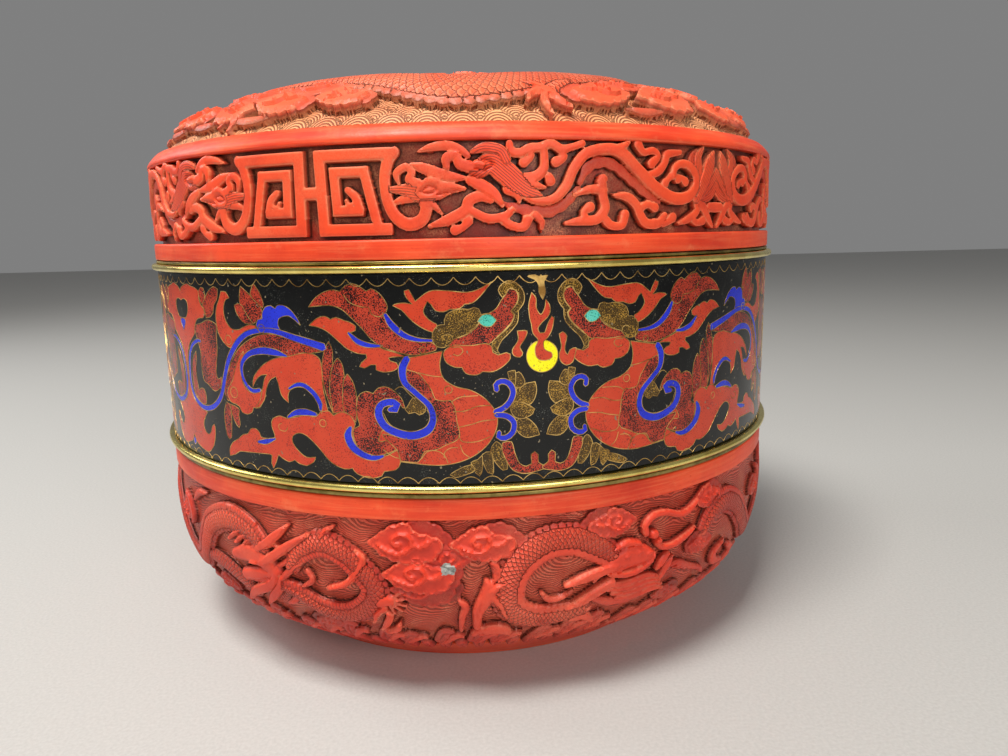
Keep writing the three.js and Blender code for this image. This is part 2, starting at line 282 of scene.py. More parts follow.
class Carving:
    """A carved ground laid flat. Each corner of the grid keeps its height above the
    ground, how far it is shifted to sit on a form's edge, and what skin covers it."""

    NO_EDGE = 9.0  # mm: no form's edge is near
    BARE = 0.3  # mm: lower corners are bare ground
    SNAP, OUTSIDE = 0.85, 0.15  # parts of a cell: reach of an edge, and where its foot starts
    HAIR = 0.04  # mm that a snapped corner stands inside or outside the edge
    LEAST_DROP = 0.35  # mm: lower steps are left unsnapped
    RIM, RIM_SLOPE = 0.5, 0.6  # mm: rim round a hollow top, and the slope behind it
    CHUNK = 64  # rows of a path that are compared at once
    GROW_STEPS, FAR_OFF = 16, 8.0  # steps that distances grow by, and mm where none reaches
    DEEPEST = -0.3  # mm: no line is cut deeper under the ground

    def __init__(self, u, w, cell):
        self.u, self.w, self.cell = u, w, cell
        self.height = np.zeros(u.shape)
        self.edge = np.full(u.shape, self.NO_EDGE)
        self.shift = np.zeros((2,) + u.shape)
        self.skin = np.zeros(u.shape)
        self.along = np.zeros(u.shape)
        self.across = np.zeros(u.shape)
        self.groove = np.zeros(u.shape)
        self.phase = np.zeros(u.shape)

    def near(self, low, high):
        """Flat numbers of the grid corners inside a box."""
        inside = (self.u > low[0]) & (self.u < high[0]) & (self.w > low[1]) & (self.w < high[1])
        return np.nonzero(inside.ravel())[0]

    def spots(self, at):
        """Flat places of the corners with these numbers."""
        return np.stack([self.u.ravel()[at], self.w.ravel()[at]], 1)

    def cut(self, at, depth, outward, level, edge, dome, base, skin=0.0, along=0.0, across=0.0, hollow=0.0):
        """Raises the corners `at` where `depth`, the distance inside the form's edge, is
        positive: a flat top with a rounded edge of width `edge`, or with `dome` a round
        back, sunk by `hollow` inside a narrow rim. Corners that nearly touch the edge
        are moved onto it."""
        close = np.abs(depth) < self.SNAP * self.cell
        held = np.where(close, np.where(depth > -self.OUTSIDE * self.cell, self.HAIR, -self.HAIR), depth)
        part = np.clip(held / np.maximum(edge, 1e-6), 0, 1)
        rounded = np.sqrt(1 - (1 - part) ** 2)
        sunk = hollow * np.clip((held - self.RIM) / self.RIM_SLOPE, 0, 1)
        height = base + (level - base) * ((1 - dome) + dome * rounded) - sunk
        flat = self.height.ravel()
        wins = (held > 0) & (height > flat[at] + 0.02)
        drop = (level - base) * (1 - dome) + base - flat[at]
        grips = close & (drop > self.LEAST_DROP) & (np.abs(depth) < np.abs(self.edge.ravel()[at]))
        moved = at[grips]
        amount = (depth - held)[grips]
        self.shift[0].ravel()[moved] = amount * outward[0][grips]
        self.shift[1].ravel()[moved] = amount * outward[1][grips]
        self.edge.ravel()[moved] = depth[grips]
        winners = at[wins]
        flat[winners] = height[wins]
        far = wins & ~close
        self.edge.ravel()[at[far]] = depth[far]
        self.shift[0].ravel()[at[far]] = 0.0
        self.shift[1].ravel()[at[far]] = 0.0
        self.skin.ravel()[winners] = skin
        self.along.ravel()[winners] = np.broadcast_to(along, at.shape)[wins]
        self.across.ravel()[winners] = np.broadcast_to(across, at.shape)[wins]

    def ribbon(self, points, level, edge=0.7, dome=0.35, base=0.0, skin=SKIN_PLAIN, notch=0.0, pitch=3.0,
               offset=0.0, part=0.0, widest=1.3):
        """A form along a smooth path of [u, w, width]: the depth is half the width at
        the nearest point of the path, less the distance to it. `notch` ripples the edge.
        `offset` moves the path that part of its half width to its left; it keeps `part`
        of its width or is `widest` mm at most."""
        rows = curve_through(points)
        half = rows[:, 2] / 2
        if offset:
            run = directions(rows[:, :2])
            rows = rows.copy()
            rows[:, :2] += np.stack([-run[:, 1], run[:, 0]], 1) * half[:, None] * offset
            half = part * half if part else np.minimum(half, widest)
        reach = half.max() + self.cell
        at = self.near(rows[:, :2].min(0) - reach, rows[:, :2].max(0) + reach)
        if not len(at):
            return
        spot = self.spots(at)
        ahead = directions(rows[:, :2])
        length = lengths(rows[:, :2])
        if notch:
            half = half * (1 + notch * (2 * np.abs((length / pitch) % 1 - 0.5) - 0.5))
        best = np.full(len(at), -1e9)
        pick = np.zeros(len(at), int)
        for start in range(0, len(rows), self.CHUNK):
            some = slice(start, start + self.CHUNK)
            gap = spot[:, None, :] - rows[None, some, :2]
            depth = half[None, some] - np.hypot(gap[..., 0], gap[..., 1])
            which = depth.argmax(1)
            value = depth[np.arange(len(at)), which]
            better = value > best
            best = np.where(better, value, best)
            pick = np.where(better, which + start, pick)
        gap = spot - rows[pick, :2]
        outward = gap / np.maximum(np.hypot(gap[:, 0], gap[:, 1]), 1e-6)[:, None]
        side = ahead[pick, 0] * gap[:, 1] - ahead[pick, 1] * gap[:, 0]
        limit = np.maximum(half[pick], 0.05)
        width = limit if dome >= 0.99 else np.minimum(edge, limit)
        self.cut(at, best, outward.T, level, width, dome, base, skin, length[pick], side)

    def bars(self, points, width, level, edge=0.6, dome=0.3, base=0.0):
        """Straight bars with square corners through the points: inside a bar the depth
        is the least distance to its two sides and two squared-off ends."""
        rows = np.asarray(points, float)
        at = self.near(rows.min(0) - width, rows.max(0) + width)
        spot = self.spots(at)
        best = np.full(len(at), -1e9)
        outward = np.zeros((2, len(at)))
        for first, last in zip(rows[:-1], rows[1:]):
            run = last - first
            size = np.hypot(*run)
            run = run / size
            gap = spot - first
            t = gap @ run
            n = gap @ np.array([-run[1], run[0]])
            sides = np.stack([width / 2 - np.abs(n), t + width / 2, size + width / 2 - t])
            depth = sides.min(0)
            which = sides.argmin(0)
            out = np.where(which == 0, np.sign(n) * np.array([[-run[1]], [run[0]]]),
                           np.where(which == 1, -run[:, None], run[:, None]))
            better = depth > best
            best = np.where(better, depth, best)
            outward = np.where(better, out, outward)
        self.cut(at, best, outward, level, edge, dome, base)

    def line(self, points, depth, width):
        """A cut line along a smooth path: a rounded groove taken from what is there."""
        rows = curve_through([(*p[:2], 0.0) for p in points])
        at = self.near(rows[:, :2].min(0) - 2 * width, rows[:, :2].max(0) + 2 * width)
        if not len(at):
            return
        spot = self.spots(at)
        least = np.full(len(at), 1e9)
        for start in range(0, len(rows), self.CHUNK):
            gap = spot[:, None, :] - rows[None, start:start + self.CHUNK, :2]
            least = np.minimum(least, np.hypot(gap[..., 0], gap[..., 1]).min(1))
        cut = depth * np.exp(-(least / (0.6 * width)) ** 2)
        flat = self.groove.ravel()
        flat[at] = np.maximum(flat[at], cut)

    def plate(self, discs, level, edge=0.5, dome=0.25, hollow=0.0):
        """A scalloped plate made of discs [u, w, radius]: the depth is the greatest of
        each radius less the distance to its middle."""
        rows = np.asarray(discs, float)
        reach = rows[:, 2:] + self.cell
        at = self.near((rows[:, :2] - reach).min(0), (rows[:, :2] + reach).max(0))
        if not len(at):
            return
        gap = self.spots(at)[:, None] - rows[None, :, :2]
        far = np.hypot(gap[..., 0], gap[..., 1])
        depth = rows[:, 2] - far
        pick = (np.arange(len(at)), depth.argmax(1))
        outward = gap[pick] / np.maximum(far[pick], 1e-6)[:, None]
        self.cut(at, depth[pick], outward.T, level, edge, dome, 0.0, hollow=hollow)

    def measure_ground(self):
        """Distance in mm from each bare corner to the nearest form, found by growing the
        forms a step at a time, and kept as the ground's edge."""
        bare = self.height < self.BARE
        gap = np.where(bare, self.FAR_OFF, 0.0)
        for _ in range(self.GROW_STEPS):
            for axis in (0, 1):
                for way in (1, -1):
                    gap = np.minimum(gap, np.roll(gap, way, axis) + self.cell)
        self.edge = np.where(bare & (self.edge == self.NO_EDGE), gap, self.edge)
        return gap

    def surface(self):
        """Shifted flat positions and final heights of the grid."""
        height = np.maximum(self.height - self.groove, self.DEEPEST)
        return self.u + self.shift[0], self.w + self.shift[1], height


def set_layers(made, layers):
    """Stores named per-corner values of a piece for its material."""
    for name, values in layers.items():
        layer = made.data.attributes.new(name, "FLOAT", "POINT")
        layer.data.foreach_set("value", np.asarray(values, np.float32).ravel())


def wrapped_faces(rows, columns):
    """Quads of a grid whose last column joins its first."""
    here = np.arange(rows * columns).reshape(rows, columns)
    there = np.roll(here, -1, axis=1)
    return np.stack([here[:-1], there[:-1], there[1:], here[1:]], -1).reshape(-1, 4)


def triangles_of(quads, height):
    """Triangles of the quads, each cut along the diagonal whose ends differ least in
    height, so that tops stay flat up to their edges and walls stay upright."""
    level = np.ravel(height)[quads]
    even = np.abs(level[:, 0] - level[:, 2]) <= np.abs(level[:, 1] - level[:, 3])
    return np.where(even[:, None], quads[:, [0, 1, 2, 0, 2, 3]], quads[:, [0, 1, 3, 1, 2, 3]]).reshape(-1, 3)


def layer_value(tree, name):
    """Fac output of a stored layer."""
    return node(tree, "ShaderNodeAttribute", attribute_name=name).outputs["Fac"]


COMB_PITCH, RIB_PITCH = 0.68, 1.25


def lacquer_finish(name, top, side, deep_shade, ground, dust_and_highlight, line_strength=0.0, ground_depth=0.25, scale_size=2.3,
                   crevice_shade=0.8):
    """Carved cinnabar lacquer: bright on its tops, with painted shade that darkens its walls,
    cuts and the corners at the foot of the forms, a painted highlight along the top edges,
    dust caught at the foot of the forms, scale nets and combed lines. The ground may carry
    fine cut lines, darkened as painted shade, where the piece's phase passes whole numbers."""
    made, tree, shader = new_material(name, top, 0.42)
    shader.inputs["Specular IOR Level"].default_value = 0.38
    depth = layer_value(tree, "depth")
    edge = layer_value(tree, "edge")
    skin = layer_value(tree, "skin")
    along = layer_value(tree, "along")
    across = layer_value(tree, "across")
    cloudy = noise(tree, 55.0, 4.0)
    fine = noise(tree, 900.0, 3.0)
    # Painted shade: by height the colour darkens from the top colour down the walls (the side colour) to a
    # dark colour at their foot, then turns to the ground's own colour.
    uneven = plus(tree, depth, times(tree, minus(tree, fine, 0.5), 0.18))
    colour = ramp(tree, uneven, [(0.0, ground), (ground_depth, deep_shade), (0.66, side), (0.9, top)])
    # Overlapping round scales in rows, each other row moved on by half a scale: a place
    # belongs to the furthest row ahead whose scale reaches it, and its value is the
    # distance from that scale's middle in parts of the scale's radius.
    reach, step = 0.54 * scale_size, 0.33 * scale_size
    row = math(tree, "DIVIDE", along, step)
    whole_row = math(tree, "FLOOR", row)
    part_row = math(tree, "FRACT", row)
    moved_row = times(tree, math(tree, "MODULO", whole_row, 2.0), 0.5)
    column = plus(tree, math(tree, "DIVIDE", across, scale_size), moved_row)
    spans = []
    for rows_on, moved in ((2.0, 20.0), (1.0, 20.5)):
        ahead = times(tree, minus(tree, rows_on, part_row), step / reach)
        part_column = math(tree, "FRACT", plus(tree, column, moved))
        beside = times(tree, minus(tree, part_column, 0.5), scale_size / reach)
        squares = plus(tree, times(tree, ahead, ahead), times(tree, beside, beside))
        spans.append(math(tree, "SQRT", squares))
    within_first = math(tree, "LESS_THAN", spans[0], 1.0)
    hump = plus(tree, times(tree, within_first, spans[0]),
                times(tree, minus(tree, 1.0, within_first), spans[1]))
    scale = math(tree, "COMPARE", skin, SKIN_SCALES)
    # A painted highlight on each scale's rim, and painted shade in the crease behind it.
    lit = times(tree, scale, ramp(tree, hump, [(0.5, 0.0), (0.76, 0.34), (0.84, 0.0)]))
    crease = times(tree, scale, ramp(tree, hump, [(0.84, 0.0), (0.96, 1.0)]))
    hump = times(tree, math(tree, "MINIMUM", hump, 1.0), minus(tree, 1.0, crease))
    comb = math(tree, "COMPARE", skin, SKIN_COMB)
    wave = off_half(tree, math(tree, "DIVIDE", across, COMB_PITCH))
    combed = times(tree, comb, math(tree, "LESS_THAN", wave, 0.14))
    rib = off_half(tree, math(tree, "DIVIDE", along, RIB_PITCH))
    ribbed = times(tree, math(tree, "COMPARE", skin, SKIN_RIBS), math(tree, "LESS_THAN", rib, 0.12))
    furrow = math(tree, "MAXIMUM", combed, ribbed)
    # The creases, combs and ribs are darkened as painted shade.
    groove_shade = math(tree, "MAXIMUM", crease, furrow)
    colour = blend_colour(tree, times(tree, groove_shade, 0.7), colour, deep_shade)
    colour = blend_colour(tree, lit, colour, dust_and_highlight)
    grime = ramp(tree, cloudy, [(0.35, 0.0), (0.75, 0.35)])
    colour = blend_colour(tree, grime, colour, side)
    # Dust that settled low and beside the forms, a painted highlight along the top edges, and a dry haze.
    grit = noise(tree, 2400.0, 2.0)
    patches = ramp(tree, noise(tree, 130.0, 3.0), [(0.46, 0.08), (0.62, 1.0)])
    patchy = math(tree, "MAXIMUM", patches, ramp(tree, edge, [(0.0, 0.8), (0.5, 0.0)]))
    gritty = times(tree, ramp(tree, grit, [(0.42, 0.15), (0.6, 1.0)]), patchy)
    settled = times(tree, gritty, ramp(tree, depth, [(0.0, 0.6), (0.3, 0.25), (0.8, 0.0)]))
    colour = blend_colour(tree, settled, colour, dust_and_highlight)
    high = ramp(tree, depth, [(0.6, 0.0), (0.8, 1.0)])
    # Painted highlight: a pale line along the top edges of the forms.
    painted_edge_highlight = times(tree, ramp(tree, edge, [(0.0, 0.5), (0.45, 0.0)]), high)
    colour = blend_colour(tree, painted_edge_highlight, colour, dust_and_highlight)
    dry = ramp(tree, noise(tree, 24.0, 4.0, 0.6), [(0.45, 0.0), (0.75, 0.4)])
    haze = times(tree, dry, ramp(tree, grit, [(0.35, 0.3), (0.6, 1.0)]))
    colour = blend_colour(tree, haze, colour, dust_and_highlight)
    worn = ramp(tree, noise(tree, 75.0, 5.0, 0.65), [(0.3, 0.55), (0.5, 0.0)])
    colour = blend_colour(tree, worn, colour, side)
    # Painted shade in the corner between a form and the ground, darkest at the form's foot.
    foot = ramp(tree, depth, [(0.2, 1.0), (0.4, 0.0)])
    painted_crevice_shade = times(tree, ramp(tree, edge, [(0.0, crevice_shade), (0.75, 0.0)]), foot)
    colour = blend_colour(tree, painted_crevice_shade, colour, srgb(40, 12, 10))
    tree.links.new(colour, shader.inputs["Base Color"])
    rough = plus(tree, 0.36, times(tree, cloudy, 0.25))
    tree.links.new(rough, shader.inputs["Roughness"])
    height = minus(tree, times(tree, scale, hump), times(tree, furrow, 0.6))
    if line_strength:
        ripple = off_half(tree, layer_value(tree, "phase"))
        low = ramp(tree, depth, [(0.12, 1.0), (0.3, 0.0)])
        cut = times(tree, low, ramp(tree, ripple, [(0.12, 1.0), (0.26, 0.0)]))
        # The cut lines are darkened as painted shade.
        colour = blend_colour(tree, times(tree, cut, line_strength), colour, deep_shade)
        tree.links.new(colour, shader.inputs["Base Color"])
        height = minus(tree, height, cut)
    cut_normal = bump(tree, shader, height, 0.0008)
    bump(tree, shader, plus(tree, fine, cloudy), 0.00025, 0.35, cut_normal)
    return made


# The frieze's dark ground colour is painted shade in its narrow, deep-cut ground.
cinnabar_carved = lacquer_finish("cinnabar_carved", srgb(242, 74, 32), srgb(196, 46, 24), srgb(74, 16, 12),
                                 srgb(88, 24, 18), srgb(222, 150, 106))


def frieze_unit():
    """The carving between the bar and the spread feathers, 60 degrees of the frieze."""
    per_degree = np.pi / 180 * RIM_RADIUS
    columns = int(round(60 * per_degree / FRIEZE_CELL))
    rows = int(round((FRIEZE_TOP - FRIEZE_BOTTOM) / FRIEZE_CELL))
    angle = np.linspace(BAR_ANGLE, BAR_ANGLE + 60, columns + 1)
    down = np.linspace(FRIEZE_LINE - FRIEZE_TOP, FRIEZE_LINE - FRIEZE_BOTTOM, rows + 1)
    u, w = np.meshgrid(angle * per_degree, down)
    unit = Carving(u, w, FRIEZE_CELL)

    def ribbon(path, lift=0.0, **how):
        """A ribbon whose path is in degrees and mm; where it is wide it swells a little."""
        rows = [(a * per_degree, v, wide + FRIEZE_SWELL * np.clip(wide - 1.5, 0, 1)) for a, v, wide in path]
        unit.ribbon(rows, FRIEZE_RELIEF + lift, **{"edge": 0.6, "dome": FRIEZE_DOME, **how})

    def scroll(path, lift=0.0, knobs=(2.6, 2.6)):
        """A ribbon that ends in round knobs."""
        start, *between, end = path
        ribbon([(*start[:2], max(start[2], knobs[0])),
                *[(a, v, min(width, SCROLL_WIDEST)) for a, v, width in between],
                (*end[:2], max(end[2], knobs[1]))], lift)

    def bars(path, width):
        """Bars with square corners."""
        unit.bars([(a * per_degree, v) for a, v in path], BAR_SWELL * width, FRIEZE_RELIEF, edge=0.45,
                  dome=FRIEZE_DOME)

    def line(path, depth=0.7, width=0.6):
        unit.line([(a * per_degree, v) for a, v in path], depth, width)

    # The square spiral: an outer path that ends in a hook and a small head, and an inner one.
    bars([(-20.6, 14.8), (-19.6, 14.8)], 2.7)
    bars([(-10.2, 24.9), (-18.8, 24.9), (-19.0, 4.9), (-9.7, 4.9)], 2.7)
    ribbon([(-8.9, 4.6, 3.0), (-9.7, 7.0, 3.0), (-10.2, 12, 2.8), (-9.9, 17.6, 2.9), (-8.9, 21.8, 3.1),
            (-7.3, 23.8, 3.3), (-5.6, 22.6, 3.2), (-5.0, 19.4, 3.0), (-5.6, 16.5, 2.8)])
    bars([(-11.3, 24.7), (-12.9, 9.4), (-17.0, 9.4), (-16.8, 19.7), (-13.8, 19.7)], 2.3)
    ribbon([(-13.7, 19.4, 2.4), (-14.2, 16.2, 2.2), (-15.2, 14.2, 1.8)])
    ribbon([(-15.5, 16.9, 0.9), (-15.1, 18.3, 1.4), (-14.0, 17.6, 1.3)], 0.1)
    # Small head that the hook ends in.
    ribbon([(-9.4, 14.4, 1.6), (-7.6, 14.6, 3.0), (-5.8, 15.2, 5.4), (-4.4, 15.2, 5.4)], 0.05, skin=SKIN_COMB)
    ribbon([(-5.4, 15.2, 4.2), (-3.8, 15.0, 5.0), (-2.0, 14.4, 3.0), (0.0, 14.6, 1.0)], 0.1)
    ribbon([(-8.4, 12.8, 1.0), (-8.6, 10.2, 1.9), (-7.4, 8.6, 2.0), (-6.6, 10.0, 1.8), (-7.0, 12.0, 2.2),
            (-5.6, 13.4, 2.8)], 0.15)
    ribbon([(-9.6, 18.6, 0.8), (-8.4, 17.4, 1.8), (-6.8, 16.6, 2.6)])
    ribbon([(-5.4, 16.8, 2.6), (-4.2, 18.6, 2.0), (-3.0, 21.2, 0.8)])
    ribbon([(-6.4, 15.6, 1.4), (-4.8, 12.6, 2.0), (-3.3, 12.4, 1.6)], 0.25)
    line([(-5.6, 15.0), (-4.6, 13.8), (-3.6, 14.6), (-4.4, 15.6), (-5.3, 15.4)])
    line([(-3.4, 16.0), (-2.2, 15.4), (-0.8, 15.0)])
    # Leaf ribbons above it.
    ribbon([(-6.8, 8.0, 1.0), (-5.2, 9.0, 2.6), (-3.0, 10.8, 3.0), (-1.0, 11.6, 2.0), (0.4, 11.9, 0.8)])
    ribbon([(-5.7, 4.6, 0.8), (-4.0, 3.6, 2.0), (-2.0, 3.3, 2.4), (-0.4, 4.4, 2.0), (0.5, 6.0, 1.6)])
    # Large head: horns, brow, muzzle and combed neck.
    ribbon([(1.6, 10.0, 4.6), (3.4, 8.0, 5.4), (5.2, 10.6, 6.2), (6.8, 13.6, 5.6), (8.2, 15.6, 3.6),
            (9.8, 16.8, 1.2)], 0.1, skin=SKIN_COMB)
    ribbon([(-2.2, 9.2, 1.6), (-2.2, 6.6, 2.4), (-1.0, 5.8, 2.2), (-0.6, 8.0, 2.6), (0.6, 8.8, 3.0),
            (2.0, 8.6, 3.0)], 0.35)
    ribbon([(1.0, 5.0, 1.2), (2.6, 4.0, 2.6), (4.6, 4.8, 2.8), (5.4, 7.4, 2.6)], 0.2, skin=SKIN_COMB)
    ribbon([(0.8, 12.4, 2.6), (2.4, 14.2, 3.2), (3.8, 16.4, 2.6), (4.8, 19.4, 1.0)], 0.15)
    ribbon([(5.6, 14.8, 3.2), (6.6, 16.0, 2.4), (7.0, 18.4, 0.9)], 0.1)
    ribbon([(7.8, 12.6, 2.8), (9.2, 14.0, 2.0), (10.4, 14.6, 0.8)], 0.1)
    ribbon([(1.5, 8.2, 1.5), (2.6, 8.3, 1.5)], 0.8, dome=0.9, edge=0.8)
    line([(0.9, 7.4), (2.0, 6.9), (3.2, 7.4), (3.6, 8.6), (2.6, 9.6), (1.4, 9.4)])
    line([(0.8, 11.2), (2.2, 11.8), (3.6, 13.2)])
    # Branch and the scroll over it.
    ribbon([(6.6, 12.0, 2.4), (9.0, 11.8, 2.8), (10.2, 9.6, 2.4), (10.3, 6.6, 2.2), (10.2, 4.2, 2.2)])
    scroll([(5.8, 2.9, 1.6), (6.0, 5.0, 2.8), (7.2, 5.4, 2.4), (8.4, 4.2, 2.4), (9.8, 3.9, 2.4),
            (11.2, 3.0, 2.8), (12.6, 4.4, 2.4), (14.0, 3.9, 1.9), (15.5, 2.9, 1.6)], 0.1, (1.8, 1.9))
    scroll([(8.6, 4.6, 1.8), (8.5, 6.6, 1.8), (7.6, 7.9, 2.6)])
    scroll([(12.6, 4.8, 1.8), (13.0, 6.6, 1.8), (11.9, 7.8, 2.7)])
    ribbon([(10.9, 11.8, 2.2), (11.1, 12.9, 2.6)], 0.1)
    # The long body that swings down, up and down again to a curl.
    body = [(7.4, 17.0, 0.9), (9.0, 18.2, 1.8), (11.4, 17.8, 2.3), (13.2, 14.4, 2.5), (14.3, 9.6, 2.6),
            (16.0, 5.6, 2.7), (18.8, 4.2, 2.8), (21.2, 5.2, 3.2), (24.0, 10.0, 3.3), (27.0, 14.8, 3.4),
            (30.2, 17.6, 3.4), (33.0, 17.2, 3.3), (34.6, 14.4, 2.9), (34.6, 10.8, 2.6), (33.1, 8.1, 2.4),
            (31.4, 7.7, 2.2), (30.3, 9.2, 2.1), (30.2, 11.2, 2.0)]
    ribbon(body, 0.25)
    ribbon([(19.6, 4.6, 2.6), (21.4, 3.5, 2.0), (22.4, 2.2, 1.0)], 0.3)
    scroll([(30.2, 10.6, 2.0), (29.2, 12.2, 1.8), (28.6, 13.4, 2.4)])
    scroll([(31.0, 12.0, 1.8), (31.8, 11.8, 1.8), (32.6, 12.8, 2.6)])
    ribbon([(4.6, 18.4, 0.9), (7.0, 20.2, 2.4), (10.4, 21.2, 3.0), (13.2, 18.9, 2.6), (14.9, 15.2, 1.8)],
           -0.8, notch=0.3, pitch=3.6)
    ribbon([(15.3, 13.2, 1.6), (16.4, 9.4, 2.6), (18.2, 7.7, 2.8), (20.4, 8.6, 2.6), (23.2, 12.8, 2.4),
            (26.0, 16.9, 2.2), (27.9, 18.9, 1.0)], -0.8, notch=0.3, pitch=4.2)
    line([(9.8, 19.5), (11.6, 19.3), (13.3, 17.0)], 0.5, 0.45)
    line([(16.2, 7.4), (18.3, 6.1), (20.6, 6.9), (23.4, 11.6)], 0.5, 0.45)
    # Branches at its crest.
    ribbon([(24.8, 11.6, 1.4), (27.2, 10.2, 2.4), (28.5, 7.6, 2.3), (29.0, 5.2, 2.3), (31.4, 4.4, 1.6)])
    scroll([(23.9, 2.7, 2.2), (24.8, 4.8, 2.0), (26.4, 4.3, 2.0), (27.3, 5.8, 1.9), (26.2, 7.9, 2.6)])
    # Scrolls below.
    ribbon([(-4.7, 24.4, 1.0), (-2.2, 22.8, 2.8), (0.0, 20.3, 2.9), (0.5, 17.8, 2.8), (2.0, 16.7, 2.6),
            (3.3, 17.8, 1.8)])
    scroll([(-1.4, 25.6, 2.0), (-0.4, 24.9, 1.9), (0.3, 23.2, 1.8)])
    scroll([(0.6, 20.4, 2.2), (2.8, 22.6, 2.3), (4.9, 22.2, 2.2), (6.0, 20.6, 1.6)], 0.0, (2.2, 1.8))
    scroll([(4.6, 22.6, 2.0), (5.8, 24.6, 2.2), (7.4, 25.2, 2.2), (8.0, 23.2, 2.2)])
    ribbon([(9.0, 22.0, 2.2), (9.9, 23.8, 1.8), (9.8, 26.4, 0.7)])
    ribbon([(13.2, 24.4, 1.2), (15.4, 23.8, 2.4), (17.6, 23.4, 2.6), (18.8, 20.6, 2.7), (18.5, 17.2, 2.6),
            (18.4, 14.0, 2.6)])
    ribbon([(18.6, 15.4, 2.4), (16.6, 15.2, 2.2), (14.3, 16.8, 0.9)])
    scroll([(18.2, 13.6, 2.2), (18.5, 12.4, 2.6)], 0.05)
    scroll([(16.0, 23.6, 2.0), (15.7, 21.4, 1.8), (16.6, 20.0, 2.7)])
    scroll([(18.4, 22.2, 2.2), (19.6, 25.0, 2.3), (21.4, 25.2, 2.2), (21.9, 22.2, 2.4)])
    ribbon([(20.3, 16.9, 1.2), (22.2, 17.3, 2.4), (23.6, 19.4, 2.6), (24.4, 22.4, 2.6), (25.4, 24.7, 2.6),
            (27.4, 24.9, 2.6), (28.7, 22.6, 2.0)])
    scroll([(24.0, 20.8, 2.0), (25.6, 19.4, 2.0), (26.9, 20.3, 2.6)])
    scroll([(26.8, 24.8, 2.2), (28.4, 25.0, 2.0), (30.2, 23.2, 2.8)])
    ribbon([(31.4, 24.9, 1.0), (33.2, 23.8, 2.2), (35.2, 21.4, 2.3), (34.8, 19.4, 1.6)])
    scroll([(34.0, 23.2, 1.8), (35.2, 24.8, 2.0), (36.6, 24.2, 2.4)])
    ribbon([(34.8, 17.8, 2.4), (36.6, 20.2, 2.8), (37.6, 23.0, 2.6), (38.9, 26.0, 1.4)])
    scroll([(38.0, 20.2, 2.2), (39.5, 20.2, 3.0)], 0.1)
    # Spread feathers, combed, from the end of the body to the mirror line.
    ribbon([(35.2, 15.4, 2.0), (34.4, 10.0, 2.8), (34.0, 6.0, 2.4), (34.9, 3.4, 0.9)], -0.5, skin=SKIN_COMB)
    ribbon([(35.4, 16.4, 2.4), (35.4, 10.2, 3.6), (35.2, 5.6, 3.2), (36.4, 2.6, 1.0)], -0.15, skin=SKIN_COMB)
    ribbon([(35.0, 18.6, 2.2), (38.2, 16.2, 3.4), (39.6, 13.2, 2.6)], -0.2, skin=SKIN_COMB)
    ribbon([(35.0, 18.4, 2.2), (38.0, 13.4, 3.4), (39.7, 9.2, 2.4)], 0.0, skin=SKIN_COMB)
    ribbon([(35.0, 18.2, 2.0), (36.6, 12.6, 4.6), (37.8, 7.4, 4.4), (38.6, 3.6, 1.0)], 0.3, skin=SKIN_COMB)
    unit.measure_ground()
    # The ground just under the rim is treated as the foot of a form: painted shadow under the rim's overhang,
    # with some dust.
    rim_shadow_and_dust = 0.5 * (w - w.min()) + 0.1
    unit.edge = np.where(unit.height < unit.BARE, np.minimum(unit.edge, rim_shadow_and_dust), unit.edge)
    return unit


def ringed(u, w, height, outline, radius):
    """Positions of a band made of mirrored and repeated units: the flat position is
    wound round the outline and pushed out along its normal by the height."""
    angle = u / radius
    point, normal = outline(w)
    reach = point[0] + normal[0] * height
    return np.stack([reach * np.sin(angle), -reach * np.cos(angle), point[1] + normal[1] * height], -1) * MM


def mirror_and_repeat(values, about=None):
    """A half unit, its mirror image and their repeats side by side. With `about` the
    values are positions and turn with the angle; without it they repeat as they are."""
    flipped = values[:, :0:-1] if about is None else 2 * about[0] - values[:, :0:-1]
    pair = np.concatenate([flipped, values[:, :-1]], 1)
    if about is None:
        return np.tile(pair, (1, REPEATS))
    return np.concatenate([pair + about[1] * k for k in range(REPEATS)], 1)


def frieze_outline(w):
    """Straight down at the ground's radius, facing out."""
    down = np.clip(w, FRIEZE_LINE - FRIEZE_TOP, FRIEZE_LINE - FRIEZE_BOTTOM)
    return (np.full(w.shape, FRIEZE_GROUND), FRIEZE_LINE - down), (np.ones(w.shape), np.zeros(w.shape))


EDGE_REACH = 1.2  # mm from an edge over which its dust, its painted highlight and the painted shade at its foot show


def layers_of(unit, relief, spread):
    """The values that a carved piece's material reads: depth and edge as parts of one."""
    depth = np.clip(unit.height / relief, 0, 1)
    edge = np.clip(unit.edge / EDGE_REACH, 0, 1)
    # Grooves lower the depth value, so that the material darkens them as painted shade.
    values = {"depth": depth - unit.groove * 0.4, "edge": edge, "skin": unit.skin, "along": unit.along,
              "across": unit.across, "phase": unit.phase}
    return {name: spread(value) for name, value in values.items()}


